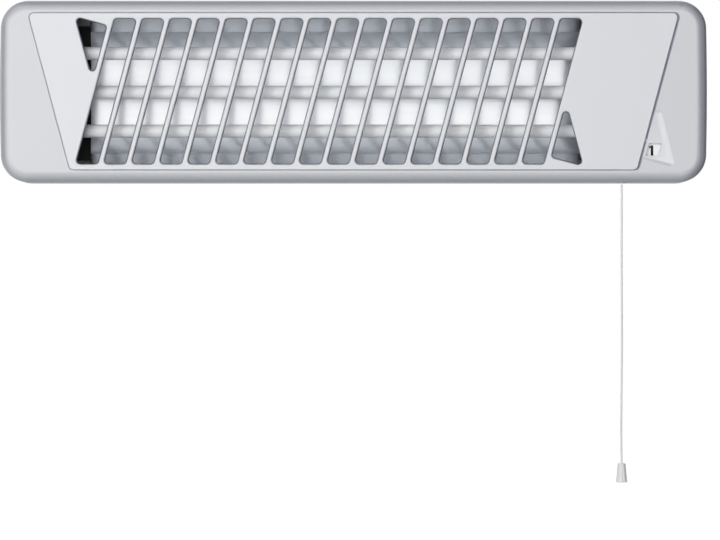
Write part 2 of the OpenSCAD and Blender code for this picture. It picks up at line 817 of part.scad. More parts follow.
module heat_shield() {
  from = lamp_left_x + lamp_t;
  shield_y = cover_in_y + shield_share * rear_depth;
  line = [[shield_y + shield_lip, -shield_h / 2], [shield_y, -shield_h / 2],
    [shield_y, shield_h / 2], [shield_y + shield_lip, shield_h / 2]];
  color("dimgray") side_on((from + lamp_right_x) / 2)
    linear_extrude(lamp_right_x - from, center = true) polygon(strip(line, sheet_t));
}

// A bent sheet across the housing: x is its outer face, and inward points to the reflector
module lamp_bracket(x, inward) {
  middle_x = x + inward * lamp_t / 2;
  shelf_from = x + inward * lamp_t / 2;
  shelf_to = reflector_x - inward * (reflector_l / 2 - shelf_in);
  shelf_y = reflector_y - sheet_t;
  color("dimgray") difference() {
    union() {
      side_on(middle_x) linear_extrude(lamp_t, center = true)
        polygon(rounded([[cover_in_y, lamp_h / 2], [cover_in_y, -lamp_h / 2],
          [tube_y + lamp_front, -lamp_h / 2], [tube_y + lamp_front, lamp_h / 2]], lamp_corner_r, 3));
      slab(moved(rectangle(abs(shelf_to - shelf_from), reflector_flat_h - shelf_gap),
        [(shelf_from + shelf_to) / 2, 0]), shelf_y - lamp_t, shelf_y);
      slab(moved(rectangle(flange_l, flange_h), [x + inward * flange_l / 2, 0]),
        cover_in_y, cover_in_y + lamp_t);
    }
    for (k = [-1:1]) side_on(x) translate([tube_y, k * tube_pitch, 0])
      cylinder(r = cap_neck_r + fit_gap, h = 4 * lamp_t, center = true);
    side_on(x) translate([wire_y, 0, 0])
      cylinder(r = wire_hole_r, h = 4 * lamp_t, center = true);
    for (p = reflector_screw_places)
      rod(p, tapping_r + fit_gap, shelf_y - lamp_t - overrun, shelf_y + overrun);
    for (p = flange_screws) rod(p, tapping_r + fit_gap, cover_in_y - overrun, cover_in_y + lamp_t + overrun);
  }
}

module lamp_bracket_left() {
  lamp_bracket(lamp_left_x, 1);
}

module lamp_bracket_right() {
  lamp_bracket(lamp_right_x + lamp_t, -1);
}

module lamp_bracket_screws() {
  color("silver") for (p = flange_screws)
    screw_forward(p, rear_y, tapping_head_r, tapping_head_h, tapping_r, cover_t + lamp_t + tapping_r);
}

tube_from = lamp_left_x - tube_in_cap;
tube_to = lamp_right_x + lamp_t + tube_in_cap;
pin_from = lamp_left_x - cap_l - pin_out;
pin_to = lamp_right_x + lamp_t + cap_l + pin_out;

// A cylinder along X, at the height of a tube: 1 is the upper one
module along_tube(row, r, from, to) {
  side_on((from + to) / 2) translate([tube_y, (2 - row) * tube_pitch, 0])
    cylinder(r = r, h = to - from, center = true);
}

module quartz_tube(row) {
  color("ivory") difference() {
    along_tube(row, tube_r, tube_from, tube_to);
    along_tube(row, tube_r - tube_wall, tube_from - overrun, tube_to + overrun);
  }
}

// The winding is drawn as the sleeve that it fills, with an end plate and a pin at each end
module heating_coil(row) {
  from = tube_from + coil_short;
  to = tube_to - coil_short;
  color("dimgray") {
    difference() {
      along_tube(row, coil_r, from, to);
      along_tube(row, coil_r - coil_wire, from + coil_wire, to - coil_wire);
    }
    along_tube(row, pin_r, pin_from, from + coil_wire / 2);
    along_tube(row, pin_r, to - coil_wire / 2, pin_to);
  }
}

// A ceramic cap whose neck sits in a lamp bracket: way is -1 at the left and 1 at the right
module tube_cap(row, way) {
  face = way < 0 ? lamp_left_x : lamp_right_x + lamp_t;
  color("beige") translate([face, -tube_y, (2 - row) * tube_pitch]) rotate([0, way * 90, 0]) difference() {
    union() {
      translate([0, 0, -lamp_t]) cylinder(r = cap_neck_r, h = lamp_t + cap_l);
      cylinder(r = cap_r, h = cap_l);
    }
    translate([0, 0, -lamp_t - overrun])
      cylinder(r = tube_r + fit_gap, h = lamp_t + overrun + cap_l - cap_end_t);
    cylinder(r = pin_r + fit_gap, h = cap_l + overrun);
  }
}

module quartz_tube_1() {
  quartz_tube(1);
}

module quartz_tube_2() {
  quartz_tube(2);
}

module quartz_tube_3() {
  quartz_tube(3);
}

module heating_coil_1() {
  heating_coil(1);
}

module heating_coil_2() {
  heating_coil(2);
}

module heating_coil_3() {
  heating_coil(3);
}

module tube_cap_1() {
  tube_cap(1, -1);
}

module tube_cap_2() {
  tube_cap(2, -1);
}

module tube_cap_3() {
  tube_cap(3, -1);
}

module tube_cap_4() {
  tube_cap(1, 1);
}

module tube_cap_5() {
  tube_cap(2, 1);
}

module tube_cap_6() {
  tube_cap(3, 1);
}

function pole_x(k) = block_place.x + (k - (block_poles - 1) / 2) * pole_pitch;

module terminal_block() {
  color("ivory") difference() {
    slab(moved(rounded(rectangle(block_w, block_h), block_r), block_place), cover_in_y, cover_in_y + block_t);
    for (k = [0:block_poles - 1])
      rod([pole_x(k), block_place.y], pole_r, cover_in_y + block_t - pole_d, cover_in_y + block_t + overrun);
  }
}

module terminal_screws() {
  color("goldenrod") for (k = [0:block_poles - 1])
    rod([pole_x(k), block_place.y], pole_screw_r, cover_in_y + block_t - pole_d,
      cover_in_y + block_t - pole_d + pole_screw_h);
}

// A grooved bush that lines the hole for the mains cable in the rear cover
module cable_grommet() {
  from = rear_y - grommet_flange_t;
  to = cover_in_y + grommet_flange_t;
  color("dimgray") difference() {
    union() {
      rod(grommet_place, grommet_r, from, to);
      rod(grommet_place, grommet_flange_r, from, rear_y);
      rod(grommet_place, grommet_flange_r, cover_in_y, to);
    }
    rod(grommet_place, grommet_bore_r, from - overrun, to + overrun);
  }
}

module earth_screw() {
  color("goldenrod")
    screw_forward(earth_place, rear_y, tapping_head_r, tapping_head_h, tapping_r, cover_t + tapping_l);
}

// An insulated wire through points given as x, distance from the wall, and height
module wire(points) {
  swept_tube(bent([for (p = points) [p.x, -p.y, p.z]], wire_bend), wire_r, wire_sides, [1, 2, 3]);
}

block_low = block_place.y - block_h / 2;
tabs = [for (p = tab_places) shaft_place + p];

module live_lead() {
  x = pole_x(2);
  color("saddlebrown") wire([[x, wire_y, block_low], [x, wire_y, block_low - lead_low * 2],
    [tabs[1].x, wire_y + wire_bend, tabs[1].y], [tabs[1].x, tab_y, tabs[1].y]]);
}

module neutral_lead() {
  x = pole_x(0);
  bus_x = pin_from - wire_r;
  color("royalblue") wire([[x, wire_y, block_low], [x, wire_y, 0], [bus_x, wire_y, 0],
    [bus_x, wire_y, tube_pitch], [bus_x, tube_y, tube_pitch], [bus_x, tube_y, -tube_pitch - pin_r]]);
}

module earth_lead() {
  x = pole_x(3);
  color("green") wire([[x, wire_y, block_low], [x, wire_y, earth_place.y],
    [earth_place.x - tapping_r, wire_y, earth_place.y]]);
}

module tube_lead_1() {
  x = pin_to + 2 * lead_side;
  color("brown") wire([[pin_to, tube_y, tube_pitch], [x, tube_y, tube_pitch],
    [x, wire_y + lead_in, block_low], [tabs[0].x, wire_y + wire_bend, tabs[0].y],
    [tabs[0].x, tab_y, tabs[0].y]]);
}

module tube_lead_2() {
  x = pin_to + lead_side;
  color("brown") wire([[pin_to, tube_y, 0], [x, tube_y, 0], [x, wire_y + lead_in, 0],
    [x, wire_y + lead_in, tabs[2].y], [tabs[2].x, wire_y + lead_in, tabs[2].y],
    [tabs[2].x, tab_y, tabs[2].y]]);
}

module tube_lead_3() {
  x = pin_to + wire_r;
  low = tabs[3].y - lead_low;
  color("brown") wire([[x, tube_y + pin_r, -tube_pitch], [x, wire_y, -tube_pitch], [x, wire_y, low],
    [tabs[3].x, wire_y, low], [tabs[3].x, wire_y + wire_bend, tabs[3].y], [tabs[3].x, tab_y, tabs[3].y]]);
}

// The switch: a moulded case with ears, a bearing for the dial shaft and guides for the slider
module switch_body() {
  middle = shaft_place + switch_off;
  color("dimgray") difference() {
    union() {
      slab(moved(rounded(rectangle(switch_w, switch_h), switch_r), middle), switch_back_y, switch_front_y);
      for (p = ears) {
        rod(p, ear_r, switch_front_y - ear_t, switch_front_y);
        slab(moved(rectangle(abs(p.x - middle.x), 2 * ear_r), [(p.x + middle.x) / 2, p.y]),
          switch_front_y - ear_t, switch_front_y);
      }
      for (way = [-1, 1])
        slab(moved(rectangle(guide_t, slider_h),
            [cord_x + way * (slider_w / 2 + running_gap + guide_t / 2), slider_z + slider_h / 2]),
          switch_front_y - ear_t, switch_front_y + guide_d);
    }
    rod(shaft_place, shaft_r + shaft_gap, switch_front_y - bearing_l, switch_front_y + overrun);
    for (p = ears) rod(p, ear_screw_r + fit_gap, switch_back_y, switch_front_y + overrun);
  }
}

module switch_screws() {
  level = switch_front_y - ear_t;
  color("silver") for (p = ears)
    screw_forward(p, level, tapping_head_r, tapping_head_h, ear_screw_r - fit_gap, ear_t + tapping_l);
}

module switch_terminals() {
  color("goldenrod") for (p = tabs) slab(moved(rectangle(tab_w, tab_t), p), tab_y, tab_y + tab_l);
}

// The slider that the cord pulls down, with the pawl that pushes a tooth of the ratchet
module pull_slider() {
  pawl_z = shaft_place.y + ratchet_r * sin(tooth_angle / 2) + pawl_gap;
  pawl_tip = shaft_place.x - ratchet_r + pawl_reach;
  pawl_root = cord_x - slider_w / 2;
  back = cord_y - slider_t / 2;
  top = slider_z + ferrule_up;
  color("ivory") {
    difference() {
      slab(moved(rectangle(slider_w, slider_h), [cord_x, slider_z + slider_h / 2]), back, back + slider_t);
      translate([cord_x, -cord_y, slider_z - overrun])
        cylinder(r = cord_r + shaft_gap, h = ferrule_up + 2 * overrun);
      slab([[cord_x - ferrule_r - shaft_gap, top], [cord_x + ferrule_r + shaft_gap, top],
        [cord_x + ferrule_r + shaft_gap, top + ferrule_h + shaft_gap],
        [cord_x - ferrule_r - shaft_gap, top + ferrule_h + shaft_gap]],
        cord_y - ferrule_r - shaft_gap, back + slider_t + overrun);
    }
    slab([[pawl_root, pawl_z], [pawl_tip - pawl_nose, pawl_z], [pawl_tip, pawl_z + pawl_nose / 2],
      [pawl_tip, pawl_z + pawl_h], [pawl_root, pawl_z + pawl_h]], back + slider_t, ratchet_y + ratchet_t);
  }
}

// The end of the cord inside the housing, with the ferrule that holds it in the slider
module cord_tail() {
  top = slider_z + ferrule_up;
  color("white") {
    translate([cord_x, -cord_y, mouth_z - tail_out]) cylinder(r = cord_r, h = top - mouth_z + tail_out);
    translate([cord_x, -cord_y, top]) cylinder(r = ferrule_r, h = ferrule_h);
  }
}

// The spring that returns the slider, round the cord between the bush and the slider
module return_spring() {
  from = bush_top_z + spring_wire_r;
  rise = slider_z - spring_wire_r - from;
  steps = spring_turns * spring_steps;
  color("silver") swept_tube([for (k = [0:steps]) let (a = 360 * k / spring_steps)
      [cord_x + spring_r * cos(a), -cord_y + spring_r * sin(a), from + rise * k / steps]],
    spring_wire_r, spring_sides, [0, 0, 1]);
}

// Saw teeth whose flat faces look back against the turn
module ratchet_wheel() {
  root = ratchet_r - tooth_depth;
  teeth = [for (k = [0:tooth_count - 1]) let (a = tooth_angle * (k + 0.5))
    each [root * [cos(a), sin(a)], ratchet_r * [cos(a), sin(a)],
      ratchet_r * [cos(a + tooth_land), sin(a + tooth_land)]]];
  color("ivory") difference() {
    slab(moved(teeth, shaft_place), ratchet_y, ratchet_y + ratchet_t);
    rod(shaft_place, shaft_r + fit_gap, ratchet_y - overrun, ratchet_y + ratchet_t + overrun);
  }
}

module dial_shaft() {
  color("silver") rod(shaft_place, shaft_r, switch_front_y - bearing_l + running_gap, dial_y + dial_t);
}

module number_dial() {
  color("white") difference() {
    union() {
      rod(shaft_place, dial_r, dial_y, dial_y + dial_t);
      rod(shaft_place, hub_r, dial_y - hub_l, dial_y);
    }
    rod(shaft_place, shaft_r + fit_gap, dial_y - hub_l - overrun, dial_y + dial_t + overrun);
  }
}

// The eyelet in the casing's floor that the cord runs through
module cord_bush() {
  color("white") translate([cord_x, -cord_y, mouth_z]) difference() {
    union() {
      cylinder(r = bush_flange_r, h = bush_flange_t);
      cylinder(r = bush_r, h = bush_top_z - mouth_z);
    }
    translate([0, 0, -overrun])
      cylinder(r = cord_r + tail_gap, h = bush_top_z - mouth_z + 2 * overrun);
  }
}

// The hanging cord: its route gives how far each point lies to the right and below its top
module pull_cord() {
  path = [for (p = stepped(cord_route, cord_rings)) [cord_x + p.x, -cord_y, swing_z + p.y]];
  color("white") swept_tube(path, cord_r, cord_sides, [0, 1, 0]);
}

// A tapered, fluted knob with a bore for the cord
module pull_knob() {
  color("whitesmoke") translate([cord_x, -cord_y, swing_z - knob_drop]) difference() {
    rotate_extrude() polygon([[0, 0], [knob_top_r - knob_edge_r, 0], [knob_top_r, -knob_edge_r],
      [knob_bottom_r, -knob_h + knob_edge_r], [knob_bottom_r - knob_edge_r, -knob_h], [0, -knob_h]]);
    translate([0, 0, -knob_bore_d]) cylinder(r = cord_r + tail_gap, h = knob_bore_d + overrun);
    for (k = [0:knob_flutes - 1]) rotate(360 * k / knob_flutes)
      translate([knob_bottom_r + knob_flute_out, 0, -knob_h - overrun])
        cylinder(r = knob_flute_r, h = knob_h + 2 * overrun);
  }
}

wall_bracket();
casing();
front_grille();
dial_window();
rear_cover();
cover_screws();
grille_screws();
pivot_lug_left();
pivot_lug_right();
lug_screws();
pivot_screws();
pivot_nuts();
friction_washers();
reflector();
reflector_screws();
heat_shield();
lamp_bracket_left();
lamp_bracket_right();
lamp_bracket_screws();
quartz_tube_1();
quartz_tube_2();
quartz_tube_3();
heating_coil_1();
heating_coil_2();
heating_coil_3();
tube_cap_1();
tube_cap_2();
tube_cap_3();
tube_cap_4();
tube_cap_5();
tube_cap_6();
terminal_block();
terminal_screws();
cable_grommet();
earth_screw();
live_lead();
neutral_lead();
earth_lead();
tube_lead_1();
tube_lead_2();
tube_lead_3();
switch_body();
switch_screws();
switch_terminals();
cord_bush();
return_spring();
pull_slider();
cord_tail();
ratchet_wheel();
dial_shaft();
number_dial();
pull_cord();
pull_knob();
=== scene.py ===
import json
import math

import bmesh
import bpy
import numpy as np
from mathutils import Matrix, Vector
from mathutils.geometry import tessellate_polygon


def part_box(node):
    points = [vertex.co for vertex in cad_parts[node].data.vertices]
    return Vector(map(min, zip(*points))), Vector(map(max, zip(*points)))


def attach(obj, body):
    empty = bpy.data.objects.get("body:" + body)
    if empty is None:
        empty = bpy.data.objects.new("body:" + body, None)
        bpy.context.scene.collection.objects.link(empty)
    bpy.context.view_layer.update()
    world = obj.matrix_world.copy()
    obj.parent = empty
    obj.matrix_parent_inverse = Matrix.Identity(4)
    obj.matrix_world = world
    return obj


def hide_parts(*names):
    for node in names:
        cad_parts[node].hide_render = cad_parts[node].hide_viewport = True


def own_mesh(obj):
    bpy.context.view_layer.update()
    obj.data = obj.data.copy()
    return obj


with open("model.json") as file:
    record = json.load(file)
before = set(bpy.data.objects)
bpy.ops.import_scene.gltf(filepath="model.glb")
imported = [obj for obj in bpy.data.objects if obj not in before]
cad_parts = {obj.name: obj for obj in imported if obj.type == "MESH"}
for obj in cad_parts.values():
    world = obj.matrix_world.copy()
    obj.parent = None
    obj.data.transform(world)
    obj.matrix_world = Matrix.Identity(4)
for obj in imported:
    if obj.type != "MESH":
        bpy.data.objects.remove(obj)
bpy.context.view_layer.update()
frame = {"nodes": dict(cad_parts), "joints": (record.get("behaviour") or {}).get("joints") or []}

mm = 0.001
print("frame loaded")

# Where the main pieces lie, read from the frame: X to the right, Z up, and level is the distance from the wall
casingLow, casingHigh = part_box("casing")
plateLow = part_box("front_grille")[0]
reflectorLow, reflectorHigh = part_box("reflector")
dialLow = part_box("number_dial")[0]
rearLevel = -casingHigh.y
frontLevel = -casingLow.y
plateLevel = -plateLow.y
joints = {joint["name"]: joint for joint in frame["joints"]}
slant = math.radians(15)  # of the bars and of the plate's ends
mergeDistance = 0.0005 * mm
justOver = 1.02  # times a rounded edge's width, so that its ends count as part of it
white = (1, 1, 1, 1)

bpy.context.scene.view_settings.view_transform = "Standard"

photo = {
    "width": 720,
    "height": 540,
    "perPixel": 0.717 * mm,  # at the level of the front plate
    "centreX": 353.5,  # pixel column of the housing's middle
    "centreY": 91.25,  # pixel row of the housing's middle
    "distance": 4.8,
    "sensor": 36,
    "clipEnd": 30,
}


# A new object in the scene
def newObject(name, data):
    obj = bpy.data.objects.new(name, data)
    bpy.context.scene.collection.objects.link(obj)
    return obj


# The camera looks level and straight at the wall, its axis through the picture's middle
def makeCamera(p):
    data = bpy.data.cameras.new("camera")
    data.sensor_width = p["sensor"]
    data.lens = p["sensor"] * p["distance"] / (p["width"] * p["perPixel"])
    data.clip_end = p["clipEnd"]
    camera = newObject("camera", data)
    camera.location = ((p["width"] / 2 - p["centreX"]) * p["perPixel"], -plateLevel - p["distance"],
                       (p["centreY"] - p["height"] / 2) * p["perPixel"])
    camera.rotation_euler = (math.radians(90), 0, 0)
    bpy.context.scene.camera = camera


makeCamera(photo)


# Angles evenly round a full turn
def circle(steps):
    return np.linspace(0, 2 * np.pi, steps, endpoint=False)


# A loop of X and Z as points at a level
def ringAt(loop, level):
    return np.column_stack([loop[:, 0], np.full(len(loop), -level), loop[:, 1]])


# Points and faces that grow piece by piece into one mesh
class Surface:
    def __init__(self):
        self.points = []
        self.faces = []
        self.count = 0

    # Adds points and gives their numbers
    def add(self, points):
        start = self.count
        points = np.asarray(points, float).reshape(-1, 3)
        self.points.append(points)
        self.count += len(points)
        return np.arange(start, self.count)

    # Quads between two rings of points that are there already
    def between(self, first, second):
        quads = np.stack([first, np.roll(first, -1), np.roll(second, -1), second], axis=1)
        self.faces += quads.tolist()

    # A skin over a grid of points, each row a ring
    def grid(self, points):
        numbers = self.add(points).reshape(points.shape[:2])
        for first, second in zip(numbers, numbers[1:]):
            self.between(first, second)
        return numbers

    # A wall over a loop of X and Z from one level to another
    def wall(self, loop, *levels):
        return self.grid(np.array([ringAt(loop, level) for level in levels]))

    # A flat face inside the first ring and outside the others
    def flat(self, *rings):
        points = np.concatenate(self.points)
        numbers = np.concatenate(rings)
        triangles = tessellate_polygon([[Vector(points[i]) for i in ring] for ring in rings])
        self.faces += [[int(numbers[i]) for i in triangle] for triangle in triangles]

    # A closed skin over rings of equal length, with a flat face at each end
    def closed(self, rings):
        numbers = self.grid(rings)
        self.flat(numbers[0])
        self.flat(numbers[-1])


# An object at the origin from a surface: doubles merged, faces outward, smooth but for edges over the angle
def meshObject(name, surface, node=None, finish=None, sharp=30, body="housing"):
    mesh = bpy.data.meshes.new(name)
    mesh.from_pydata(np.concatenate(surface.points).tolist(), [], surface.faces)
    work = bmesh.new()
    work.from_mesh(mesh)
    bmesh.ops.remove_doubles(work, verts=work.verts, dist=mergeDistance)
    bmesh.ops.recalc_face_normals(work, faces=work.faces)
    work.to_mesh(mesh)
    work.free()
    mesh.polygons.foreach_set("use_smooth", np.ones(len(mesh.polygons), bool))
    mesh.set_sharp_from_angle(angle=math.radians(sharp))
    obj = newObject(name, mesh)
    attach(obj, body)
    if node:
        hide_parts(node)
    if finish:
        dress(finish, name)
    return obj


# A whole attribute of a mesh's points, corners or faces: whole numbers, or rows of three
def readAll(items, name, rows=False):
    values = np.empty(len(items) * (3 if rows else 1), float if rows else np.int32)
    items.foreach_get(name, values)
    return values.reshape(-1, 3) if rows else values


# The place of each corner of a mesh's faces
def cornerPlaces(mesh):
    return readAll(mesh.vertices, "co", True)[readAll(mesh.loops, "vertex_index")]


# The corners in turn, each an arc of the radius about a centre inside it; grow moves the whole loop outwards
def roundedLoop(corners, radius, grow=0.0, steps=8):
    corners = np.asarray(corners, float)
    arriving = corners - np.roll(corners, 1, axis=0)
    arriving /= np.linalg.norm(arriving, axis=1)[:, None]
    leaving = np.roll(arriving, -1, axis=0)
    half = 0.5 * np.arccos(np.clip(np.sum(arriving * leaving, axis=1), -1, 1))
    inward = leaving - arriving
    inward /= np.linalg.norm(inward, axis=1)[:, None]
    centres = corners + inward * (radius / np.cos(half))[:, None]
    start = np.arctan2(-arriving[:, 0], arriving[:, 1])[:, None]
    angles = start + 2 * half[:, None] * np.linspace(0, 1, steps + 1)
    arcs = centres[:, None, :] + (radius + grow) * np.stack([np.cos(angles), np.sin(angles)], axis=-1)
    return arcs.reshape(-1, 2)


# Corners of a box, and of one that leans to the right by the slant, counterclockwise from the upper right
def leaningBox(width, height, lean=slant):
    out = 0.5 * height * math.tan(lean)
    return np.array([[0.5 * width + out, 0.5 * height], [out - 0.5 * width, 0.5 * height],
                     [-0.5 * width - out, -0.5 * height], [0.5 * width - out, -0.5 * height]])


# A profile of radius and place along the axis, turned round the axis "X", "Y" (place is a level) or "Z"
def turned(profile, centre, axis="Y", steps=32):
    profile = np.asarray(profile, float)
    first, second = [middle + profile[:, :1] * way(circle(steps)) for middle, way in zip(centre, (np.cos, np.sin))]
    along = np.broadcast_to(profile[:, 1:], first.shape)
    order = {"X": (along, first, second), "Y": (first, -along, second), "Z": (first, second, along)}
    return np.stack(order[axis], axis=-1)


# A quarter of an ellipse from the side (0) to the front (1): how far in, and how far forward
def edgeRound(steps):
    angle = np.linspace(0, 0.5 * np.pi, steps + 1)
    return np.stack([1 - np.cos(angle), np.sin(angle)], axis=1)


cordSettings = {
    "radius": 0.7 * mm,
    "length": 206.8 * mm,
    "sides": 16,
    "ringsPerStretch": 24,
    "braidTurn": 5 * mm,  # length of cord in one turn of a strand
    # How far each point of the route lies to the right of the cord's top, and below it
    "route": [[0, 0], [0, -23], [0, -54], [0.1, -83], [0.2, -111], [0.1, -128], [0, -140],
              [-0.2, -158], [-0.3, -176], [-0.2, -188], [0, -200.8], [0, -206.8]],
}


# A round tube: at each point of the route, a circle; its map has the turn across and the length along
def makeCord(c):
    top = joints["cord_swing"]["pos_m"]
    route = np.array(c["route"], float) * mm
    knots = np.arange(len(route))
    fine = np.linspace(0, len(route) - 1, c["ringsPerStretch"] * (len(route) - 1) + 1)
    path = np.stack([top[0] + np.interp(fine, knots, route[:, 0]), np.full(len(fine), top[1]),
                     top[2] + np.interp(fine, knots, route[:, 1])], axis=1)
    angle = circle(c["sides"])
    ring = np.stack([np.cos(angle), np.sin(angle), 0 * angle], axis=1) * c["radius"]
    surface = Surface()
    surface.closed(path[:, None, :] + ring)
    # The finishes are made later, so it is dressed below
    obj = meshObject("cordBraid", surface, "pull_cord", sharp=50, body="cord")
    mesh = obj.data
    uv = mesh.uv_layers.new(name="braid")
    place = cornerPlaces(mesh)
    middle = np.interp(-place[:, 2], -path[:, 2], path[:, 0])
    turn = np.arctan2(place[:, 1] - top[1], place[:, 0] - middle) / (2 * np.pi)
    reference = np.repeat(turn[readAll(mesh.polygons, "loop_start")], readAll(mesh.polygons, "loop_total"))
    turn = reference + (turn - reference + 0.5) % 1 - 0.5  # no face spans the seam
    uv.data.foreach_set("uv", np.stack([turn, (top[2] - place[:, 2]) / c["braidTurn"]], axis=1).ravel())


makeCord(cordSettings)
print("cord made")

studio = {
    "floorLevel": -0.40,
    "floorSize": 14,
    "floorColour": (0.5, 0.5, 0.5, 1),
    "floorRough": 0.9,
    "floorReach": (0.6, 2.0),  # distances from below the heater between which the glow grows
    "floorGlow": (0.75, 0.92),  # to the camera: below the heater, where it shows a shadow, and far off
    "ambient": 0.10,
    "ambientColour": (0.9, 0.95, 1, 1),
    # How bright the surroundings are to reflections, by the sine of the height that a ray rises at
    "skyHeights": [0.0, 0.2, 0.33, 0.42, 0.50, 0.63, 0.70, 0.79, 0.90, 1.0],
    "skyLevels": [0.50, 0.76, 0.96, 1.09, 1.14, 1.20, 1.14, 0.72, 0.84, 0.35],
    # And by how far it goes to the right
    "sideHeights": [0.0, 0.04, 0.1, 0.22, 0.40, 0.50, 0.57, 0.67, 0.75, 0.85],
    "sideLevels": [0.2, 0.5, 0.85, 1.03, 1.04, 0.965, 0.84, 0.60, 0.36, 0.13],
    "tint": (1.12, 1.05, 0.92),  # powers of the level in red, green and blue: darker is bluer
    "behind": 0.65,  # share of that brightness behind the heater
    "behindFrom": (-0.3, 0.5),  # how far back a ray goes where that share begins and ends
    # Place, size and power of each lamp
    "lamps": {"key": ((-0.62, -2.6, 0.12), (1.0, 1.0), 38),
              "fill": ((-0.1, -3.0, 0.25), (1.2, 0.8), 10),
              "rear": ((0.8, 2.5, 1.0), (1.6, 1.2), 34)},
}


# Sets inputs of a node to values, or links them to other nodes' outputs
def feedAll(tree, node, inputs):
    for name, value in inputs.items():
        if isinstance(value, bpy.types.NodeSocket):
            tree.links.new(value, node.inputs[name])
        else:
            node.inputs[name].default_value = value


# A new node with its own settings, its inputs fed
def makeNode(tree, kind, inputs=(), **settings):
    node = tree.nodes.new("ShaderNode" + kind)
    for name, value in settings.items():
        setattr(node, name, value)
    feedAll(tree, node, dict(inputs))
    return node


# The first output of a new node
def made(tree, kind, inputs=(), **settings):
    return makeNode(tree, kind, inputs, **settings).outputs[0]


# Two values, or two vectors, put together by an operation
def calc(tree, operation, a, b, kind="Math"):
    return made(tree, kind, {0: a, 1: b}, operation=operation)


# A value taken from one range to another and held at its ends
def remap(tree, value, source, target=(0, 1)):
    return made(tree, "MapRange", {"Value": value, "From Min": source[0], "From Max": source[1],
                                   "To Min": target[0], "To Max": target[1]})


# Two colours mixed by a mask
def mixed(tree, mask, first, second):
    node = makeNode(tree, "Mix", {"Factor": mask, "A": first, "B": second}, data_type="RGBA")
    return node.outputs["Result"]


# The axes of a vector, each a value
def axesOf(tree, vector):
    return makeNode(tree, "SeparateXYZ", {0: vector}).outputs


# The place in an object's own coordinates
def ownPlace(tree):
    return makeNode(tree, "TexCoord").outputs["Object"]


# Noise at a place
def noise(tree, place, scale, detail):
    return makeNode(tree, "TexNoise", {"Vector": place, "Scale": scale, "Detail": detail}).outputs["Fac"]


# A soft rectangular lamp, aimed at the housing and left out of reflections
def areaLamp(name, place, size, power):
    data = bpy.data.lights.new(name, "AREA")
    data.shape = "RECTANGLE"
    data.size, data.size_y = size
    data.energy = power
    lamp = newObject(name, data)
    lamp.location = place
    lamp.visible_glossy = False
    aim = Vector((0, -frontLevel, 0)) - Vector(place)
    lamp.rotation_euler = aim.to_track_quat("-Z", "Y").to_euler()


# A direction from -1 to 1 turned into a grey by a ramp with soft steps
def greyRamp(tree, value, places, levels, tint):
    ramp = makeNode(tree, "ValToRGB", {0: remap(tree, value, (-1, 1))})
    ramp.color_ramp.interpolation = "EASE"
    stops = ramp.color_ramp.elements
    while len(stops) < len(places):
        stops.new(0.5)
    for stop, place, level in zip(stops, places, levels):
        stop.position = place
        stop.color = (*[level ** power for power in tint], 1)
    return ramp.outputs["Color"]


# The world is white to the camera, dim to diffuse light, and a tall soft gradient to reflections
def makeStudio(s):
    world = bpy.data.worlds.new("studio")
    bpy.context.scene.world = world
    world.use_nodes = True
    tree = world.node_tree
    tree.nodes.clear()
    way = axesOf(tree, makeNode(tree, "TexCoord").outputs["Generated"])
    upward = greyRamp(tree, way["Z"], s["skyHeights"], s["skyLevels"], s["tint"])
    sideways = greyRamp(tree, way["X"], s["sideHeights"], s["sideLevels"], s["tint"])
    share = remap(tree, way["Y"], s["behindFrom"], (1, s["behind"]))
    around = calc(tree, "MULTIPLY", upward, sideways, "VectorMath")
    sky = made(tree, "VectorMath", {0: around, "Scale": share}, operation="SCALE")
    path = makeNode(tree, "LightPath").outputs
    mirrored = calc(tree, "MAXIMUM", path["Is Glossy Ray"], path["Is Transmission Ray"])
    dim = made(tree, "Background", {"Color": s["ambientColour"], "Strength": s["ambient"]})
    bright = made(tree, "Background", {"Color": sky})
    plain = made(tree, "Background", {"Color": white})
    light = made(tree, "MixShader", {0: mirrored, 1: dim, 2: bright})
    seen = made(tree, "MixShader", {0: path["Is Camera Ray"], 1: light, 2: plain})
    makeNode(tree, "OutputWorld", {"Surface": seen})
    for name, lamp in s["lamps"].items():
        areaLamp(name, *lamp)


makeStudio(studio)


# A material's node tree and its shader
def nodesOf(material):
    return material.node_tree, material.node_tree.nodes["Principled BSDF"]


# A new material with both
def newMaterial(name):
    material = bpy.data.materials.new(name)
    material.use_nodes = True
    return material, *nodesOf(material)


# A pale floor that glows to the camera only: less below the heater, where its shadow stays, and white far off
def makeFloor(s):
    half = s["floorSize"] / 2
    corners = [(x, y, s["floorLevel"]) for x, y in ((-half, -half), (half, -half), (half, half), (-half, half))]
    mesh = bpy.data.meshes.new("floor")
    mesh.from_pydata(corners, [], [(0, 1, 2, 3)])
    floor = newObject("floor", mesh)
    floor.visible_glossy = False
    material, tree, shader = newMaterial("paleFloor")
    far = makeNode(tree, "VectorMath", {0: ownPlace(tree)}, operation="LENGTH").outputs["Value"]
    glow = remap(tree, far, s["floorReach"], s["floorGlow"])
    seen = makeNode(tree, "LightPath").outputs["Is Camera Ray"]
    feedAll(tree, shader, {"Base Color": s["floorColour"], "Roughness": s["floorRough"],
                           "Emission Color": white, "Emission Strength": calc(tree, "MULTIPLY", glow, seen)})
    mesh.materials.append(material)


makeFloor(studio)
print("camera and studio made")


# A shader node group with its inputs, its outputs, and the nodes at its two ends
def newGroup(name, inputs, outputs):
    group = bpy.data.node_groups.new(name, "ShaderNodeTree")
    for title, kind, value in inputs:
        group.interface.new_socket(name=title, in_out="INPUT", socket_type=kind).default_value = value
    for title in outputs:
        group.interface.new_socket(name=title, in_out="OUTPUT", socket_type="NodeSocketFloat")
    return group, group.nodes.new("NodeGroupInput").outputs, group.nodes.new("NodeGroupOutput")


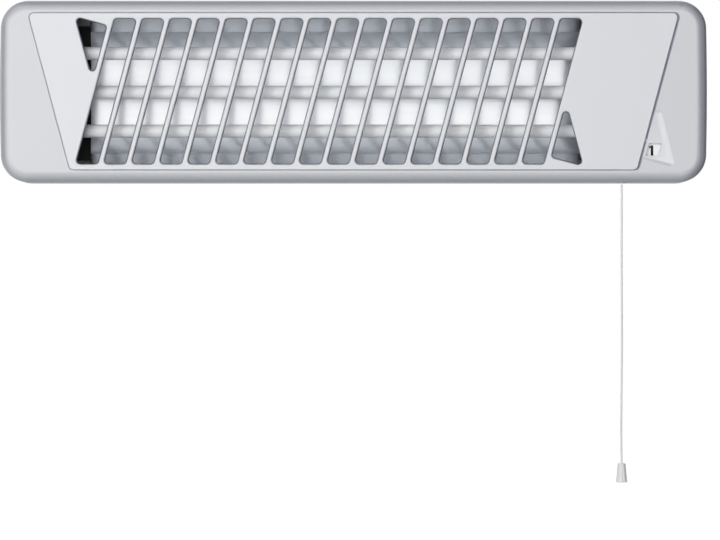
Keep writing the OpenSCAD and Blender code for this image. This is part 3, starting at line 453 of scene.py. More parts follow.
grain = {
    "scale": 900.0,
    "detail": 3,
    "broadScale": 14.0,
    "broadDetail": 2,
    "streaks": (1, 8, 6),  # how much finer the scratches are across each axis
    "streakScale": 60,
    "streakDetail": 5,
    "rare": (0.66, 0.74),  # only the noise's peaks are scratches
}


# Grain in object coordinates: Fine for pores and gloss, Broad for slow changes of colour, Scuffs for scratches
def makeGrainGroup(g):
    group, given, end = newGroup(
        "surfaceGrain",
        [("Scale", "NodeSocketFloat", g["scale"]), ("Stretch", "NodeSocketVector", (1, 1, 1)),
         ("Broad Scale", "NodeSocketFloat", g["broadScale"])], ["Fine", "Broad", "Scuffs"])
    place = ownPlace(group)
    stretched, streaks = [calc(group, "MULTIPLY", place, scale, "VectorMath")
                          for scale in (given["Stretch"], g["streaks"])]
    scratch = noise(group, streaks, g["streakScale"], g["streakDetail"])
    feedAll(group, end, {"Fine": noise(group, stretched, given["Scale"], g["detail"]),
                         "Broad": noise(group, place, given["Broad Scale"], g["broadDetail"]),
                         "Scuffs": remap(group, scratch, g["rare"])})
    return group


dust = {
    "amount": 0.3,
    "up": (0.75, 1.0),  # height of the normal where it begins to lie, and where it lies fully
    "scale": 45,
    "detail": 6,
    "patches": (0.35, 0.75),
    "colour": (0.48, 0.46, 0.43, 1),
}


# Dust lies where the surface looks up, in soft patches: the height of the normal times a slow noise
def makeDustGroup(d):
    group, given, end = newGroup("settledDust", [("Amount", "NodeSocketFloat", d["amount"])], ["Mask"])
    place = makeNode(group, "TexCoord").outputs
    up = remap(group, axesOf(group, place["Normal"])["Z"], d["up"])
    patches = remap(group, noise(group, place["Object"], d["scale"], d["detail"]), d["patches"])
    lying = calc(group, "MULTIPLY", up, patches)
    feedAll(group, end, {"Mask": calc(group, "MULTIPLY", lying, given["Amount"])})
    return group


braid = {
    "strands": 4,
    "gap": (0.25, 0.1),  # heights of the waves where a gap begins and is full
    # painted shade in the gaps between the strands
    "gapColour": (0.86, 0.86, 0.87, 1),
    "strength": 0.4,
    "depth": 0.15 * mm,
}


# Two sets of strands wound opposite ways round a cord, from its map: the higher of two waves, and their gaps as a
# mask for painted shade
def makeBraidGroup(b):
    group, given, end = newGroup("cordBraidPattern", [("Strands", "NodeSocketFloat", b["strands"])],
                                 ["Height", "Gap"])
    place = axesOf(group, made(group, "UVMap", uv_map="braid"))
    waves = []
    for way in ("ADD", "SUBTRACT"):
        turns = calc(group, "MULTIPLY", calc(group, way, place["X"], place["Y"]), given["Strands"])
        waves.append(calc(group, "PINGPONG", turns, 0.5))
    higher = calc(group, "MAXIMUM", *waves)
    feedAll(group, end, {"Height": higher, "Gap": remap(group, higher, b["gap"])})
    return group


grainGroup = makeGrainGroup(grain)
dustGroup = makeDustGroup(dust)
braidGroup = makeBraidGroup(braid)

# What a finish has unless its own entry says otherwise
plainFinish = {
    "tone": 0.94,  # brightness of the second colour, in broad patches
    "rough": 0.5,
    "roughSpread": 0.05,
    "metallic": 0.0,
    "specular": 0.5,
    "scale": 900.0,  # grain, per metre
    "stretch": (1, 1, 1),
    "broad": 14.0,
    "bump": 0.15,
    "bumpDepth": 0.02 * mm,
    "dust": 0.0,
    "scuffs": 0.0,  # how far scratches lighten the colour
    "scuffColour": (0.6, 0.6, 0.6, 1),
    "grainRange": (0.3, 0.7),  # of the fine grain, over which the gloss changes
    "drawnOut": 0.0,  # how far gloss is drawn out along the first direction of the piece's map
    "more": {},  # further inputs of the shader
}

housePaint = dict(rough=0.36, metallic=0.45, tone=0.985, broad=7.0, scale=2600.0, bump=0.06)
metal = dict(rough=0.3, roughSpread=0.1, metallic=1.0)
insulation = dict(tone=0.85, dust=0.2)

finishes = {
    "casingPaint": dict(housePaint, colour=(0.685, 0.693, 0.722), dust=0.12),
    "platePaint": dict(housePaint, colour=(0.772, 0.78, 0.81), rough=0.38, dust=0.12),
    # a lighter copy of the casing paint: painted light on the recess and its walls
    "insertPaint": dict(housePaint, colour=(0.735, 0.745, 0.775), rough=0.34),
    "coverPaint": dict(colour=(0.70, 0.715, 0.735), scale=1500.0, bump=0.3, dust=0.2, scuffs=0.1),
    "bracketPaint": dict(colour=(0.78, 0.79, 0.80), rough=0.42, scale=1500.0, bump=0.3, dust=0.35, scuffs=0.25),
    "polishedSheet": dict(colour=(0.905, 0.925, 0.955), rough=0.2, roughSpread=0.02, metallic=1.0, tone=0.97,
                          scale=700.0, stretch=(0.05, 1, 1), bump=0.015, dust=0.1, drawnOut=0.9),
    "satinQuartz": dict(colour=(0.955, 0.965, 0.985), rough=0.45, tone=0.97, stretch=(0.04, 1, 1), scale=1600.0,
                        bump=0.12, broad=30.0, more={"Transmission Weight": 0.05, "IOR": 1.3,
                                                     "Coat Weight": 0.3, "Coat Roughness": 0.18}),
    "coilWire": dict(colour=(0.62, 0.60, 0.58), rough=0.45, metallic=0.8, tone=0.8, broad=60.0),
    "capCeramic": dict(colour=(0.80, 0.76, 0.67), rough=0.75, tone=0.88, broad=120.0, scale=2200.0, bump=0.5,
                       dust=0.2),
    # Black on the heat shield and lamp brackets: painted shade for the dark gap beside the reflector's ends
    "heatBlack": dict(colour=(0.021, 0.021, 0.023), rough=0.62, tone=0.7, scale=1800.0, bump=0.4, dust=0.3,
                      scuffs=0.05),
    "zincPlate": dict(metal, colour=(0.64, 0.65, 0.66), tone=0.85, broad=90.0, scale=1400.0, bump=0.1,
                      scuffs=0.15),
    "springSteel": dict(colour=(0.55, 0.56, 0.58), rough=0.28, metallic=1.0, tone=0.8, broad=150.0),
    "brassTurned": dict(metal, colour=(0.76, 0.58, 0.28), tone=0.82, broad=140.0),
    "blackPlastic": dict(colour=(0.045, 0.045, 0.05), rough=0.46, tone=0.85, scale=2600.0, bump=0.35, dust=0.25),
    "blackRubber": dict(colour=(0.035, 0.035, 0.037), rough=0.7, tone=0.75, bump=0.3, dust=0.35),
    "ivoryPlastic": dict(colour=(0.80, 0.77, 0.66), rough=0.45, tone=0.95, scale=2200.0),
    "brownWire": dict(insulation, colour=(0.20, 0.085, 0.04)),
    "blueWire": dict(insulation, colour=(0.03, 0.12, 0.42)),
    "greenWire": dict(insulation, colour=(0.05, 0.27, 0.06)),
    # painted shade in the gap at the plate's right end
    "seamShade": dict(colour=(0.50, 0.53, 0.62), rough=0.6, tone=0.9),
    # the dial's plastic, also put on the window well's walls as painted light
    "dialPlastic": dict(colour=(0.97, 0.97, 0.975), rough=0.42, metallic=0.4, specular=1.0, tone=0.985,
                        scale=2200.0),
    "printBlack": dict(colour=(0.006, 0.006, 0.007), rough=0.6, specular=0.1, tone=0.8, scale=3000.0, bump=0.05),
    "knobPlastic": dict(colour=(0.97, 0.97, 0.965), rough=0.35, tone=0.97, scale=2200.0, bump=0.08),
    # Clear but for a faint haze and its gloss
    "windowClear": dict(colour=(0.97, 0.975, 0.98), rough=0.06, roughSpread=0.02, tone=0.99, bump=0.02,
                        more={"Alpha": 0.012}),
    "cordYarn": dict(colour=(0.98, 0.98, 0.98), rough=0.85, tone=0.95, scale=6000.0, bump=0.3,
                     more={"Sheen Weight": 0.3}),
}


# A Principled shader fed by the grain: colour between two tones, scratches, dust, gloss and a fine bump
def makeFinish(name, own):
    f = {**plainFinish, **own}
    material, tree, shader = newMaterial(name)
    grained = makeNode(tree, "Group", {"Scale": f["scale"], "Stretch": f["stretch"], "Broad Scale": f["broad"]},
                       node_tree=grainGroup).outputs
    colour = mixed(tree, grained["Broad"], (*f["colour"], 1), (*[f["tone"] * c for c in f["colour"]], 1))
    if f["scuffs"]:
        colour = mixed(tree, calc(tree, "MULTIPLY", grained["Scuffs"], f["scuffs"]), colour, f["scuffColour"])
    if f["dust"]:
        lying = makeNode(tree, "Group", {"Amount": f["dust"]}, node_tree=dustGroup).outputs["Mask"]
        colour = mixed(tree, lying, colour, dust["colour"])
    rough, spread = f["rough"], f["roughSpread"]
    gloss = remap(tree, grained["Fine"], f["grainRange"], (rough - spread, rough + spread))
    bump = made(tree, "Bump", {"Strength": f["bump"], "Distance": f["bumpDepth"], "Height": grained["Fine"]})
    inputs = {"Base Color": colour, "Roughness": gloss, "Normal": bump, "Metallic": f["metallic"],
              "Specular IOR Level": f["specular"], **f["more"]}
    if f["drawnOut"]:
        lines = made(tree, "Tangent", direction_type="UV_MAP", uv_map="across")
        inputs.update({"Tangent": lines, "Anisotropic": f["drawnOut"]})
    feedAll(tree, shader, inputs)
    return material


materials = {name: makeFinish(name, own) for name, own in finishes.items()}


# The braid's strands stand up from the cord and its gaps get painted shade
def finishCord(material, b):
    tree, shader = nodesOf(material)
    wound = makeNode(tree, "Group", {"Strands": b["strands"]}, node_tree=braidGroup).outputs
    colour, normal = [shader.inputs[name].links[0].from_socket for name in ("Base Color", "Normal")]
    strands = made(tree, "Bump", {"Strength": b["strength"], "Distance": b["depth"], "Height": wound["Height"],
                                  "Normal": normal})
    feedAll(tree, shader, {"Base Color": mixed(tree, wound["Gap"], colour, b["gapColour"]), "Normal": strands})


slotShadeAndBackLight = {
    "from": (0.7 * mm, 1.2 * mm),  # depths under the plate's front between which its walls go over to painted shade
    "to": (2.42 * mm, 2.48 * mm),  # and between which the painted shade ends and the back's painted light begins
    # painted shade on the slots' walls
    "colour": (0.13, 0.15, 0.19, 1),
    # painted light on the back, standing in for light that falls on it
    "back": (0.94, 0.95, 0.97, 1),
}


# Painted shade on the slots' walls and painted light on the back, by masks of the depth under the plate's front
def paintPlateShadeAndLight(material, w):
    tree, shader = nodesOf(material)
    place = axesOf(tree, ownPlace(tree))["Y"]
    begin, end = [remap(tree, place, [depth - plateLevel for depth in w[key]]) for key in ("from", "to")]
    colour = mixed(tree, begin, shader.inputs["Base Color"].links[0].from_socket, w["colour"])
    feedAll(tree, shader, {"Base Color": mixed(tree, end, colour, w["back"])})


finishCord(materials["cordYarn"], braid)
paintPlateShadeAndLight(materials["platePaint"], slotShadeAndBackLight)


# Gives a piece or a CAD node its finish
def dress(finish, *names):
    for name in names:
        obj = frame["nodes"].get(name) or bpy.data.objects[name]
        obj.data.materials.clear()
        obj.data.materials.append(materials[finish])


dress("cordYarn", "cordBraid")
print("finishes made")

housing = {
    "halfWidth": 253.5 * mm,  # without the swell of the sides
    "halfHeight": 65.25 * mm,
    "swell": 0.5 * mm,  # of the left and right sides, halfway up
    "corner": 20 * mm,
    "cornerSteps": 16,
    "sideSteps": 16,
    "draft": 0.15 * mm,  # how much it narrows towards the front
    "edgeWidth": 7.75 * mm,  # of the rounded front edge
    "edgeDepth": 8.5 * mm,
    "edgeSteps": 18,
    "wall": 2.5 * mm,
    "innerWidth": 4.2 * mm,  # of the rounding inside
    "innerDepth": 6 * mm,
    "seam": 0.45 * mm,  # gap round the front plate
    "seamRight": 1.0 * mm,  # how much wider it is at the plate's right end
    "seamBevel": 0.15 * mm,
    "groove": 0.8 * mm,  # how much deeper the gap is at the right end
    "grooveIn": 0.3 * mm,  # how far it runs in under the plate
    "ledgeGrow": 2.5 * mm,  # how far the ledge under the plate runs past it
    "ledgeBack": 115.5 * mm,  # level
    "opening": (371 * mm, 108 * mm),
    "openingX": -17.4145 * mm,
    "openingCorner": 3 * mm,
    "recess": 0.8 * mm,  # depth
    "recessSlope": 0.8 * mm,  # its walls lean out by this each way
    "recessCorners": np.array([[220.2, -14.7], [212.9, -14.7], [203.7, -46.6], [230.0, -53.5]]) * mm,
    "recessCorner": 1.8 * mm,
    "seat": (16.78 * mm, 15 * mm),  # block behind the window
    "seatOverlap": 0.1 * mm,
    "support": 0.05 * mm,  # width of the strip that keeps the front face flat
    "postRadius": 4 * mm,
    "postHole": 1.4 * mm,
    "postHoleDepth": 14 * mm,
    "postBack": 1.2 * mm,  # from the rear edge
    "posts": np.array([[240, 50.25, 118], [80, 59.25, 115.5]]) * mm,  # X, Z, front level
    "ears": np.array([[31, 18], [31, -8], [-27.3, 12]]) * mm,  # from the dial shaft
    "earRadius": 3.5 * mm,
    "earHole": 1.2 * mm,
    "earHoleDepth": 9 * mm,
    "earBack": 98.2 * mm,
    "earFront": 1.5 * mm,  # behind the front face
    # Where the other finishes, painted shade and painted light, begin and end, with off as the distance from the
    # plate's right end
    "slack": 0.05 * mm,
    "shadedX": 190 * mm,
    "shadedOff": 2.2 * mm,
    "insetOff": 0.3 * mm,
    "insetZ": -13 * mm,
    "wellOff": 2.5 * mm,
    "well": (6.4 * mm, 5.2 * mm),  # from the window's middle
}

plate = {
    "topHalf": 233.6 * mm,  # half width at the upper edge
    "bottomHalf": 203.43 * mm,
    "halfHeight": 56.3 * mm,
    "corner": 3.5 * mm,
    "cornerSteps": 12,
    "thickness": 2.5 * mm,
    "edge": 0.6 * mm,
    "edgeSteps": 5,
    "slotCount": 17,
    "firstSlot": -177.414 * mm,
    "pitch": 20 * mm,
    "slot": (16.4 * mm, 104.7 * mm),
    "slotCorner": 3 * mm,
    "barRound": 0.9 * mm,  # of the bars' front edges
    "flare": 0.45 * mm,  # how far the walls of slots and holes run in towards the back
    "support": 0.2 * mm,
    "holeLong": 41.72 * mm,
    "holeShort": 24.087 * mm,
    "holeCorner": 2.6 * mm,
    "holeSteps": 10,
    "upperHole": (-187.312 * mm, 7.1 * mm),
    "lowerHole": (152.483 * mm, -7.1 * mm),
    "rib": (2.2 * mm, 96.7 * mm),
    "ribBack": 115.5 * mm,  # level
    "ribFront": 119.0 * mm,
    "studRadius": 3 * mm,
    "studs": np.array([[-216.1, 38.3], [-209.1, -20.3], [216.1, 38.3], [176.4, -43.9]]) * mm,
}

window = {
    "size": (9.4 * mm, 8.8 * mm),
    "place": (215.315 * mm, -41.729 * mm),
}


# The plate's outline: a box with ends that lean inwards towards the bottom
def plateLoop(p, grow=0.0):
    top, bottom, half = p["topHalf"], p["bottomHalf"], p["halfHeight"]
    return roundedLoop([[top, half], [-top, half], [-bottom, -half], [bottom, -half]], p["corner"], grow,
                       p["cornerSteps"])


# The three-cornered hole above its lowest corner: a long side along the slant and a short one square to it
def holeLoop(p, place, turn, grow=0.0):
    along = np.array([math.sin(slant), math.cos(slant)])
    square = np.array([-math.cos(slant), math.sin(slant)])
    top = p["holeLong"] * along
    corners = np.array([[0.0, 0.0], top, top + p["holeShort"] * square])
    return np.array(place) + roundedLoop(turn * corners, p["holeCorner"], grow, p["holeSteps"])


# The housing's outline: a box with arcs for corners, whose left and right sides swell by a parabola
def housingLoop(h, inset=0.0):
    arcs = roundedLoop(leaningBox(2 * h["halfWidth"], 2 * h["halfHeight"], 0), h["corner"], -inset,
                       h["cornerSteps"]).reshape(4, -1, 2)
    reach = h["halfHeight"] - h["corner"]
    up = np.linspace(-reach, reach, h["sideSteps"] + 1)[1:-1]
    side = h["halfWidth"] - inset + h["swell"] * (1 - (up / reach) ** 2)
    right = np.stack([side, up], axis=1)
    return np.concatenate([arcs[0], arcs[1], -right, arcs[2], arcs[3], right])


# The pocket's outline: the plate's, grown by the seam, with its right end moved out further
def pocketLoop(h, grow=0.0):
    loop = plateLoop(plate, h["seam"] + grow)
    return loop + np.where(loop[:, :1] > 0, [[h["seamRight"], 0]], 0)


# The run of the recess's points outside the pocket, between the two points where it meets the pocket's side
def recessRun(pocket, loop, pattern):
    side = pocket[0] - pocket[-1]
    out = np.array([side[1], -side[0]]) / np.linalg.norm(side)
    outside = (pattern - pocket[-1]) @ out > 0
    first = int(np.argmax(outside & ~np.roll(outside, 1)))
    count = int(outside.sum())
    loop = np.roll(loop, -first, axis=0)
    depth = (loop - pocket[-1]) @ out
    ends = []
    for a, b in ((-1, 0), (count - 1, count)):
        ends.append(loop[a] + (loop[b] - loop[a]) * depth[a] / (depth[a] - depth[b]))
    return ends[0], loop[:count], ends[1]


# A hollow cylinder, open at the rear for its screw, closed at the bottom of its bore
def postProfile(radius, bore, boreDepth, back, front):
    bottom = back + boreDepth
    return [[0, bottom], [bore, bottom], [bore, back], [radius, back], [radius, front], [0, front]]


# Rings of the housing's outline, as far in as wall says, from its rear edge over a rounded front edge
def skinRings(h, wall, front, width, depth, steps):
    rings = [ringAt(housingLoop(h, wall), rearLevel)]
    for e in edgeRound(steps):
        rings.append(ringAt(housingLoop(h, h["draft"] + wall + width * e[0]), front - depth * (1 - e[1])))
    return rings


# Outer skin, front face with the pocket and the recess, ledge with its opening, and the inner skin
def makeHousing(h):
    surface = Surface()
    outer = skinRings(h, 0, frontLevel, h["edgeWidth"], h["edgeDepth"], h["edgeSteps"])
    outer.append(ringAt(housingLoop(h, h["draft"] + h["edgeWidth"] + h["support"]), frontLevel))
    outer = surface.grid(np.array(outer))
    innerFront = frontLevel - h["wall"]
    inner = skinRings(h, h["wall"], innerFront, h["innerWidth"], h["innerDepth"], h["edgeSteps"] // 2)
    inner = surface.grid(np.array(inner))
    surface.between(outer[0], inner[0])

    pocketLevel = plateLevel - plate["thickness"]
    recessLevel = frontLevel - h["recess"]
    pocket = pocketLoop(h)
    pattern, wide, narrow = [roundedLoop(h["recessCorners"], h["recessCorner"], grow)
                             for grow in (0, h["recessSlope"], -h["recessSlope"])]
    rings = []
    for side, loop, level in ((pocketLoop(h, h["seamBevel"]), wide, frontLevel),
                              (pocket, wide, frontLevel - h["seamBevel"]), (pocket, narrow, recessLevel)):
        low, run, high = recessRun(side, loop, pattern)
        rings.append(surface.add(ringAt(np.concatenate([side, [low], run, [high]]), level)))
    rim, shoulder, middle = rings
    surface.between(rim, shoulder)
    surface.between(shoulder, middle)
    surface.flat(outer[-1], rim)
    side = len(pocket)
    upper = np.concatenate([middle[:side + 1], middle[-1:]])
    under = plateLoop(plate, -h["grooveIn"])
    sunk = []
    for loop in (np.concatenate([pocket, [low], [high]]), under):
        ring = ringAt(loop, pocketLevel)
        ring[:, 1] += np.where(ring[:, 0] > 0, h["groove"], 0)
        sunk.append(surface.add(ring))
    shelf = surface.add(ringAt(under, pocketLevel))
    surface.between(upper, sunk[0])
    surface.flat(*sunk)
    surface.between(sunk[1], shelf)

    opening = roundedLoop(leaningBox(*h["opening"], 0), h["openingCorner"]) + [h["openingX"], 0]
    openingRings = surface.wall(opening, pocketLevel, h["ledgeBack"])
    surface.flat(shelf, openingRings[0])
    ledgeRings = surface.wall(plateLoop(plate, h["ledgeGrow"]), h["ledgeBack"], innerFront)
    surface.flat(ledgeRings[0], openingRings[1])
    pane = leaningBox(*window["size"]) + window["place"]
    paneRings = surface.wall(pane, recessLevel, innerFront)
    surface.flat(inner[-1], ledgeRings[1], paneRings[1])
    surface.flat(middle[side:], paneRings[0])

    seat = leaningBox(*h["seat"], 0) + window["place"]
    seatLevels = (h["ledgeBack"], innerFront + h["seatOverlap"])
    for ends in zip(surface.wall(seat, *seatLevels), surface.wall(pane, *seatLevels)):
        surface.flat(*ends)
    for x, z, front in h["posts"]:
        profile = postProfile(h["postRadius"], h["postHole"], h["postHoleDepth"], rearLevel + h["postBack"], front)
        for wayX in (-1, 1):
            for wayZ in (-1, 1):
                surface.grid(turned(profile, (wayX * x, wayZ * z)))
    shaft = joints["dial_turn"]["pos_m"]
    profile = postProfile(h["earRadius"], h["earHole"], h["earHoleDepth"], h["earBack"], frontLevel - h["earFront"])
    for x, z in h["ears"]:
        surface.grid(turned(profile, (shaft[0] + x, shaft[2] + z)))
    mesh = meshObject("housingShell", surface, "casing", "casingPaint").data

    # The seam's right end gets painted shade, the recess painted light from a lighter copy of the casing paint, and
    # the window's well painted light from the dial's white
    for finish in ("seamShade", "insertPaint", "dialPlastic"):
        mesh.materials.append(materials[finish])
    centre = readAll(mesh.polygons, "center", True)
    x, z = centre[:, 0], centre[:, 2]
    level = -centre[:, 1]
    off = x - plate["bottomHalf"] - (z + plate["halfHeight"]) * math.tan(slant)
    slack = h["slack"]
    deep = level < recessLevel - 2 * slack
    # painted shade on the faces of the seam's right end
    shaded = (x > h["shadedX"]) & (off < h["shadedOff"]) & deep & (level > pocketLevel - h["groove"] - slack)
    # painted light: the recess and its walls take the lighter copy of the casing paint
    inset = (off > h["insetOff"]) & (z < h["insetZ"]) & (level > recessLevel - slack)
    inset &= level < frontLevel - 4 * slack
    # painted light: the walls of the window's well take the dial's white to lift their shade
    near = np.abs(centre[:, [0, 2]] - window["place"]) < h["well"]
    well = near.all(axis=1) & (off > h["wellOff"]) & deep
    mesh.polygons.foreach_set("material_index", (shaded + 2 * inset + 3 * well).astype(np.int32))


makeHousing(housing)
print("housing made")


# Rings from the back face over a rounded front edge; way is 1 for a hole, which widens, and -1 for the rim
def edgeRings(makeLoop, way, radius, p, flare):
    back = plateLevel - p["thickness"]
    rings = [ringAt(makeLoop(-way * flare), back)]
    for e in edgeRound(p["edgeSteps"]):
        rings.append(ringAt(makeLoop(way * radius * e[0]), plateLevel - radius * (1 - e[1])))
    rings.append(ringAt(makeLoop(way * (radius + p["support"])), plateLevel))
    return np.array(rings)


# A plate with a rounded rim, slanted slots and two three-cornered holes, with a rib behind each bar
def makePlate(p):
    surface = Surface()
    rims = []

    # Adds the rings of one rim
    def addRim(makeLoop, way=1, radius=p["barRound"], flare=p["flare"]):
        rims.append(surface.grid(edgeRings(makeLoop, way, radius, p, flare)))

    addRim(lambda grow: plateLoop(p, grow), -1, p["edge"], 0)
    corners = leaningBox(*p["slot"])
    for k in range(p["slotCount"]):
        middle = [p["firstSlot"] + k * p["pitch"], 0]
        addRim(lambda grow: roundedLoop(corners, p["slotCorner"], grow) + middle)
    for place, turn in ((p["upperHole"], 1), (p["lowerHole"], -1)):
        addRim(lambda grow: holeLoop(p, place, turn, grow))
    surface.flat(*[rim[0] for rim in rims])
    surface.flat(*[rim[-1] for rim in rims])
    for k in range(p["slotCount"] - 1):
        rib = leaningBox(*p["rib"]) + [p["firstSlot"] + (k + 0.5) * p["pitch"], 0]
        surface.closed(np.array([ringAt(rib, p["ribBack"]), ringAt(rib, p["ribFront"])]))
    for place in p["studs"]:
        surface.closed(turned([[p["studRadius"], p["ribBack"]], [p["studRadius"], p["ribFront"]]], place))
    meshObject("frontPlate", surface, "front_grille", "platePaint")


makePlate(plate)
print("front plate made")

reflector = {
    "flat": 7.92 * mm,  # half height of the flat middle
    "bend": (25.96 * mm, 8.6),  # height, and how far the sheet leans there, in degrees
    "crease": (44 * mm, 33.4),
    "lip": (54 * mm, 57),
    "steps": 24,
    "wingSteps": 4,
    "thickness": 0.6 * mm,
}


# Points from one height to the next, on an arc whose lean goes from the first angle to the second
def leaningArc(start, end, steps):
    heights = np.linspace(start[0], end[0], steps + 1)
    a, b = math.sin(math.radians(start[1])), math.sin(math.radians(end[1]))
    sines = np.linspace(a, b, steps + 1)
    radius = (end[0] - start[0]) / (b - a)
    return np.stack([heights, radius * (math.sqrt(1 - a * a) - np.sqrt(1 - sines ** 2))], axis=1)


# Height and distance forward of the sheet's face: flat, then two arcs, each tangent to the last, then a wing
def reflectorLine(r):
    inner = leaningArc((r["flat"], 0), r["bend"], r["steps"])
    outer = leaningArc(r["bend"], r["crease"], r["steps"])[1:] + [0, inner[-1, 1]]
    rise = np.linspace(0, r["lip"][0] - r["crease"][0], r["wingSteps"] + 1)[1:]
    wing = np.stack([r["crease"][0] + rise, outer[-1, 1] + rise * math.tan(math.radians(r["lip"][1]))], axis=1)
    half = np.concatenate([inner, outer, wing])
    return np.concatenate([half[::-1] * [-1, 1], half])


# The line's solid strip, carried along X from one end of the node to the other, with flat ends
def makeReflector(r):
    face = reflectorLine(r)
    along = np.diff(face, axis=0)
    along /= np.linalg.norm(along, axis=1)[:, None]
    along = np.concatenate([along[:1], along[1:] + along[:-1], along[-1:]])
    along /= np.linalg.norm(along, axis=1)[:, None]
    behind = face + r["thickness"] * np.stack([along[:, 1], -along[:, 0]], axis=1)
    loop = np.concatenate([face, behind[::-1]])
    x = np.array([reflectorLow.x, reflectorHigh.x])
    y = reflectorHigh.y - r["thickness"] - loop[:, 1]
    rings = np.stack(np.broadcast_arrays(x[:, None], y, loop[:, 0]), axis=-1)
    surface = Surface()
    numbers = surface.grid(rings)
    count = len(face)
    low = np.arange(count - 1)
    for ring in numbers:
        opposite = ring[::-1]
        surface.faces += np.stack([ring[low], ring[low + 1], opposite[low + 1], opposite[low]], axis=1).tolist()
    mesh = meshObject("reflectorSheet", surface, "reflector", "polishedSheet", sharp=20).data
    uv = mesh.uv_layers.new(name="across")
    uv.data.foreach_set("uv", (cornerPlaces(mesh)[:, [2, 0]] + [0.5, 0.5]).ravel())


makeReflector(reflector)
print("reflector made")

lamps = {
    "wall": 1 * mm,
    "steps": 64,
    "coilRadius": 2.6 * mm,
    "wireRadius": 0.4 * mm,
    "pitch": 2.6 * mm,
    "coilShort": 6 * mm,  # from the tube's ends to the coil
    "stepsPerTurn": 14,
    "wireSides": 5,
    "pinRadius": 1 * mm,
    "pinSteps": 16,
    "discRadius": 3 * mm,
    "discSteps": 24,
    "discWidth": 1 * mm,
}


# A round wire wound about a line along X (0) or Z (2): circles that look outwards, carried round and along
def windWire(surface, w, centre, axis, start, end, radius, turns):
    along, first, second = np.roll(np.eye(3), -axis, axis=0)[:, None, :]
    share = np.linspace(0, 1, turns * w["stepsPerTurn"] + 1)[:, None]
    angle = 2 * np.pi * turns * share
    outward = np.cos(angle) * first + np.sin(angle) * second
    path = centre * (1 - along) + radius * outward + (start + (end - start) * share) * along
    turn = circle(w["wireSides"])[:, None]
    ring = np.cos(turn) * outward[:, None, :] + np.sin(turn) * along
    surface.closed(path[:, None, :] + w["wireRadius"] * ring)


# Three milky tubes, each with a helix of wire, an end disc and a pin at each end
def makeLamps(t):
    for k in (1, 2, 3):
        low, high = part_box("quartz_tube_%d" % k)
        radius = 0.5 * (high.z - low.z)
        centre = (0.5 * (low.y + high.y), 0.5 * (low.z + high.z))
        inside = radius - t["wall"]
        surface = Surface()
        profile = [[inside, low.x], [radius, low.x], [radius, high.x], [inside, high.x], [inside, low.x]]
        surface.grid(turned(profile, centre, "X", t["steps"]))
        meshObject("quartzTube%d" % k, surface, "quartz_tube_%d" % k, "satinQuartz")

        surface = Surface()
        start, end = low.x + t["coilShort"], high.x - t["coilShort"]
        turns = round((end - start) / t["pitch"])
        windWire(surface, t, np.array([0, *centre]), 0, start, end, t["coilRadius"], turns)
        coilLow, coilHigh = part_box("heating_coil_%d" % k)
        for tip, foot in ((coilLow.x, start), (coilHigh.x, end)):
            way = math.copysign(1, foot - tip)
            surface.closed(turned([[t["pinRadius"], tip], [t["pinRadius"], foot]], centre, "X", t["pinSteps"]))
            disc = [[t["discRadius"], foot - way * t["discWidth"]], [t["discRadius"], foot]]
            surface.closed(turned(disc, centre, "X", t["discSteps"]))
        meshObject("heatingCoil%d" % k, surface, "heating_coil_%d" % k, "coilWire", sharp=60)


makeLamps(lamps)
print("lamps made")

numbers = {
    "order": "12301230",  # clockwise, one for each pull
    "height": 7.6 * mm,
    "capShare": 0.73,  # height of a number as a share of the type's size
    "bold": 0.28 * mm,
    "thickness": 0.05 * mm,
    "radius": 17.74 * mm,  # from the shaft to a number's middle
    "angle": -67.2,  # of the first number, which shows in the window
    "one": [[-0.85, -3.7], [1, -3.7], [1, 3.7], [-0.45, 3.7], [-2.05, 2.75], [-2.05, 1.5], [-0.85, 2.1]],
}


# Points and faces of a number, centred: type made a flat mesh and scaled to its height, or 1's own outline
def figureMesh(n, figure):
    if figure == "1":
        return np.array(n["one"]) * mm, [list(range(len(n["one"])))]
    curve = bpy.data.curves.new("figure", "FONT")
    curve.body = figure
    curve.size = n["height"] / n["capShare"]
    curve.offset = n["bold"] / 2
    holder = newObject("figure", curve)
    bpy.context.view_layer.update()
    flat = bpy.data.meshes.new_from_object(holder.evaluated_get(bpy.context.evaluated_depsgraph_get()))
    bpy.data.objects.remove(holder)
    bpy.data.curves.remove(curve)
    points = readAll(flat.vertices, "co", True)[:, :2]
    faces = [list(face.vertices) for face in flat.polygons]
    bpy.data.meshes.remove(flat)
    middle = 0.5 * (points.min(axis=0) + points.max(axis=0))
    return (points - middle) * n["height"] / np.ptp(points[:, 1]), faces


# Each number is turned with its place on the dial, and has a little thickness
def makeNumbers(n):
    shaft = joints["dial_turn"]["pos_m"]
    step = -2 * math.pi / len(n["order"])
    surface = Surface()
    for k, figure in enumerate(n["order"]):
        points, faces = figureMesh(n, figure)
        place = math.radians(n["angle"])
        points = points + n["radius"] * np.array([math.cos(place), math.sin(place)])
        c, s = math.cos(k * step), math.sin(k * step)
        points = points @ np.array([[c, s], [-s, c]]) + [shaft[0], shaft[2]]
        front, back = [surface.add(ringAt(points, -dialLow.y + way * n["thickness"])) for way in (1, -1)]
        surface.faces += [front[face].tolist() for face in faces]
        surface.faces += [back[face[::-1]].tolist() for face in faces]
        edges = dict.fromkeys(edge for face in faces for edge in zip(face, face[1:] + face[:1]))
        for a, b in edges:
            if (b, a) not in edges:
                surface.faces.append([int(front[a]), int(back[a]), int(back[b]), int(front[b])])
    meshObject("dialNumbers", surface, finish="printBlack", body="dial")


makeNumbers(numbers)
print("numbers made")

knob = {
    "edge": 0.5 * mm,
    "topRadius": 2.75 * mm,
    "bottomRadius": 4 * mm,
    "edgeSteps": 6,
    "sideSteps": 13,
    "flutes": 10,
    "fluteDepth": 0.45 * mm,
    "fluteSharp": 1.5,  # power of the cosine
    "bore": 0.75 * mm,
    "boreDepth": 8 * mm,
    "steps": 160,
}


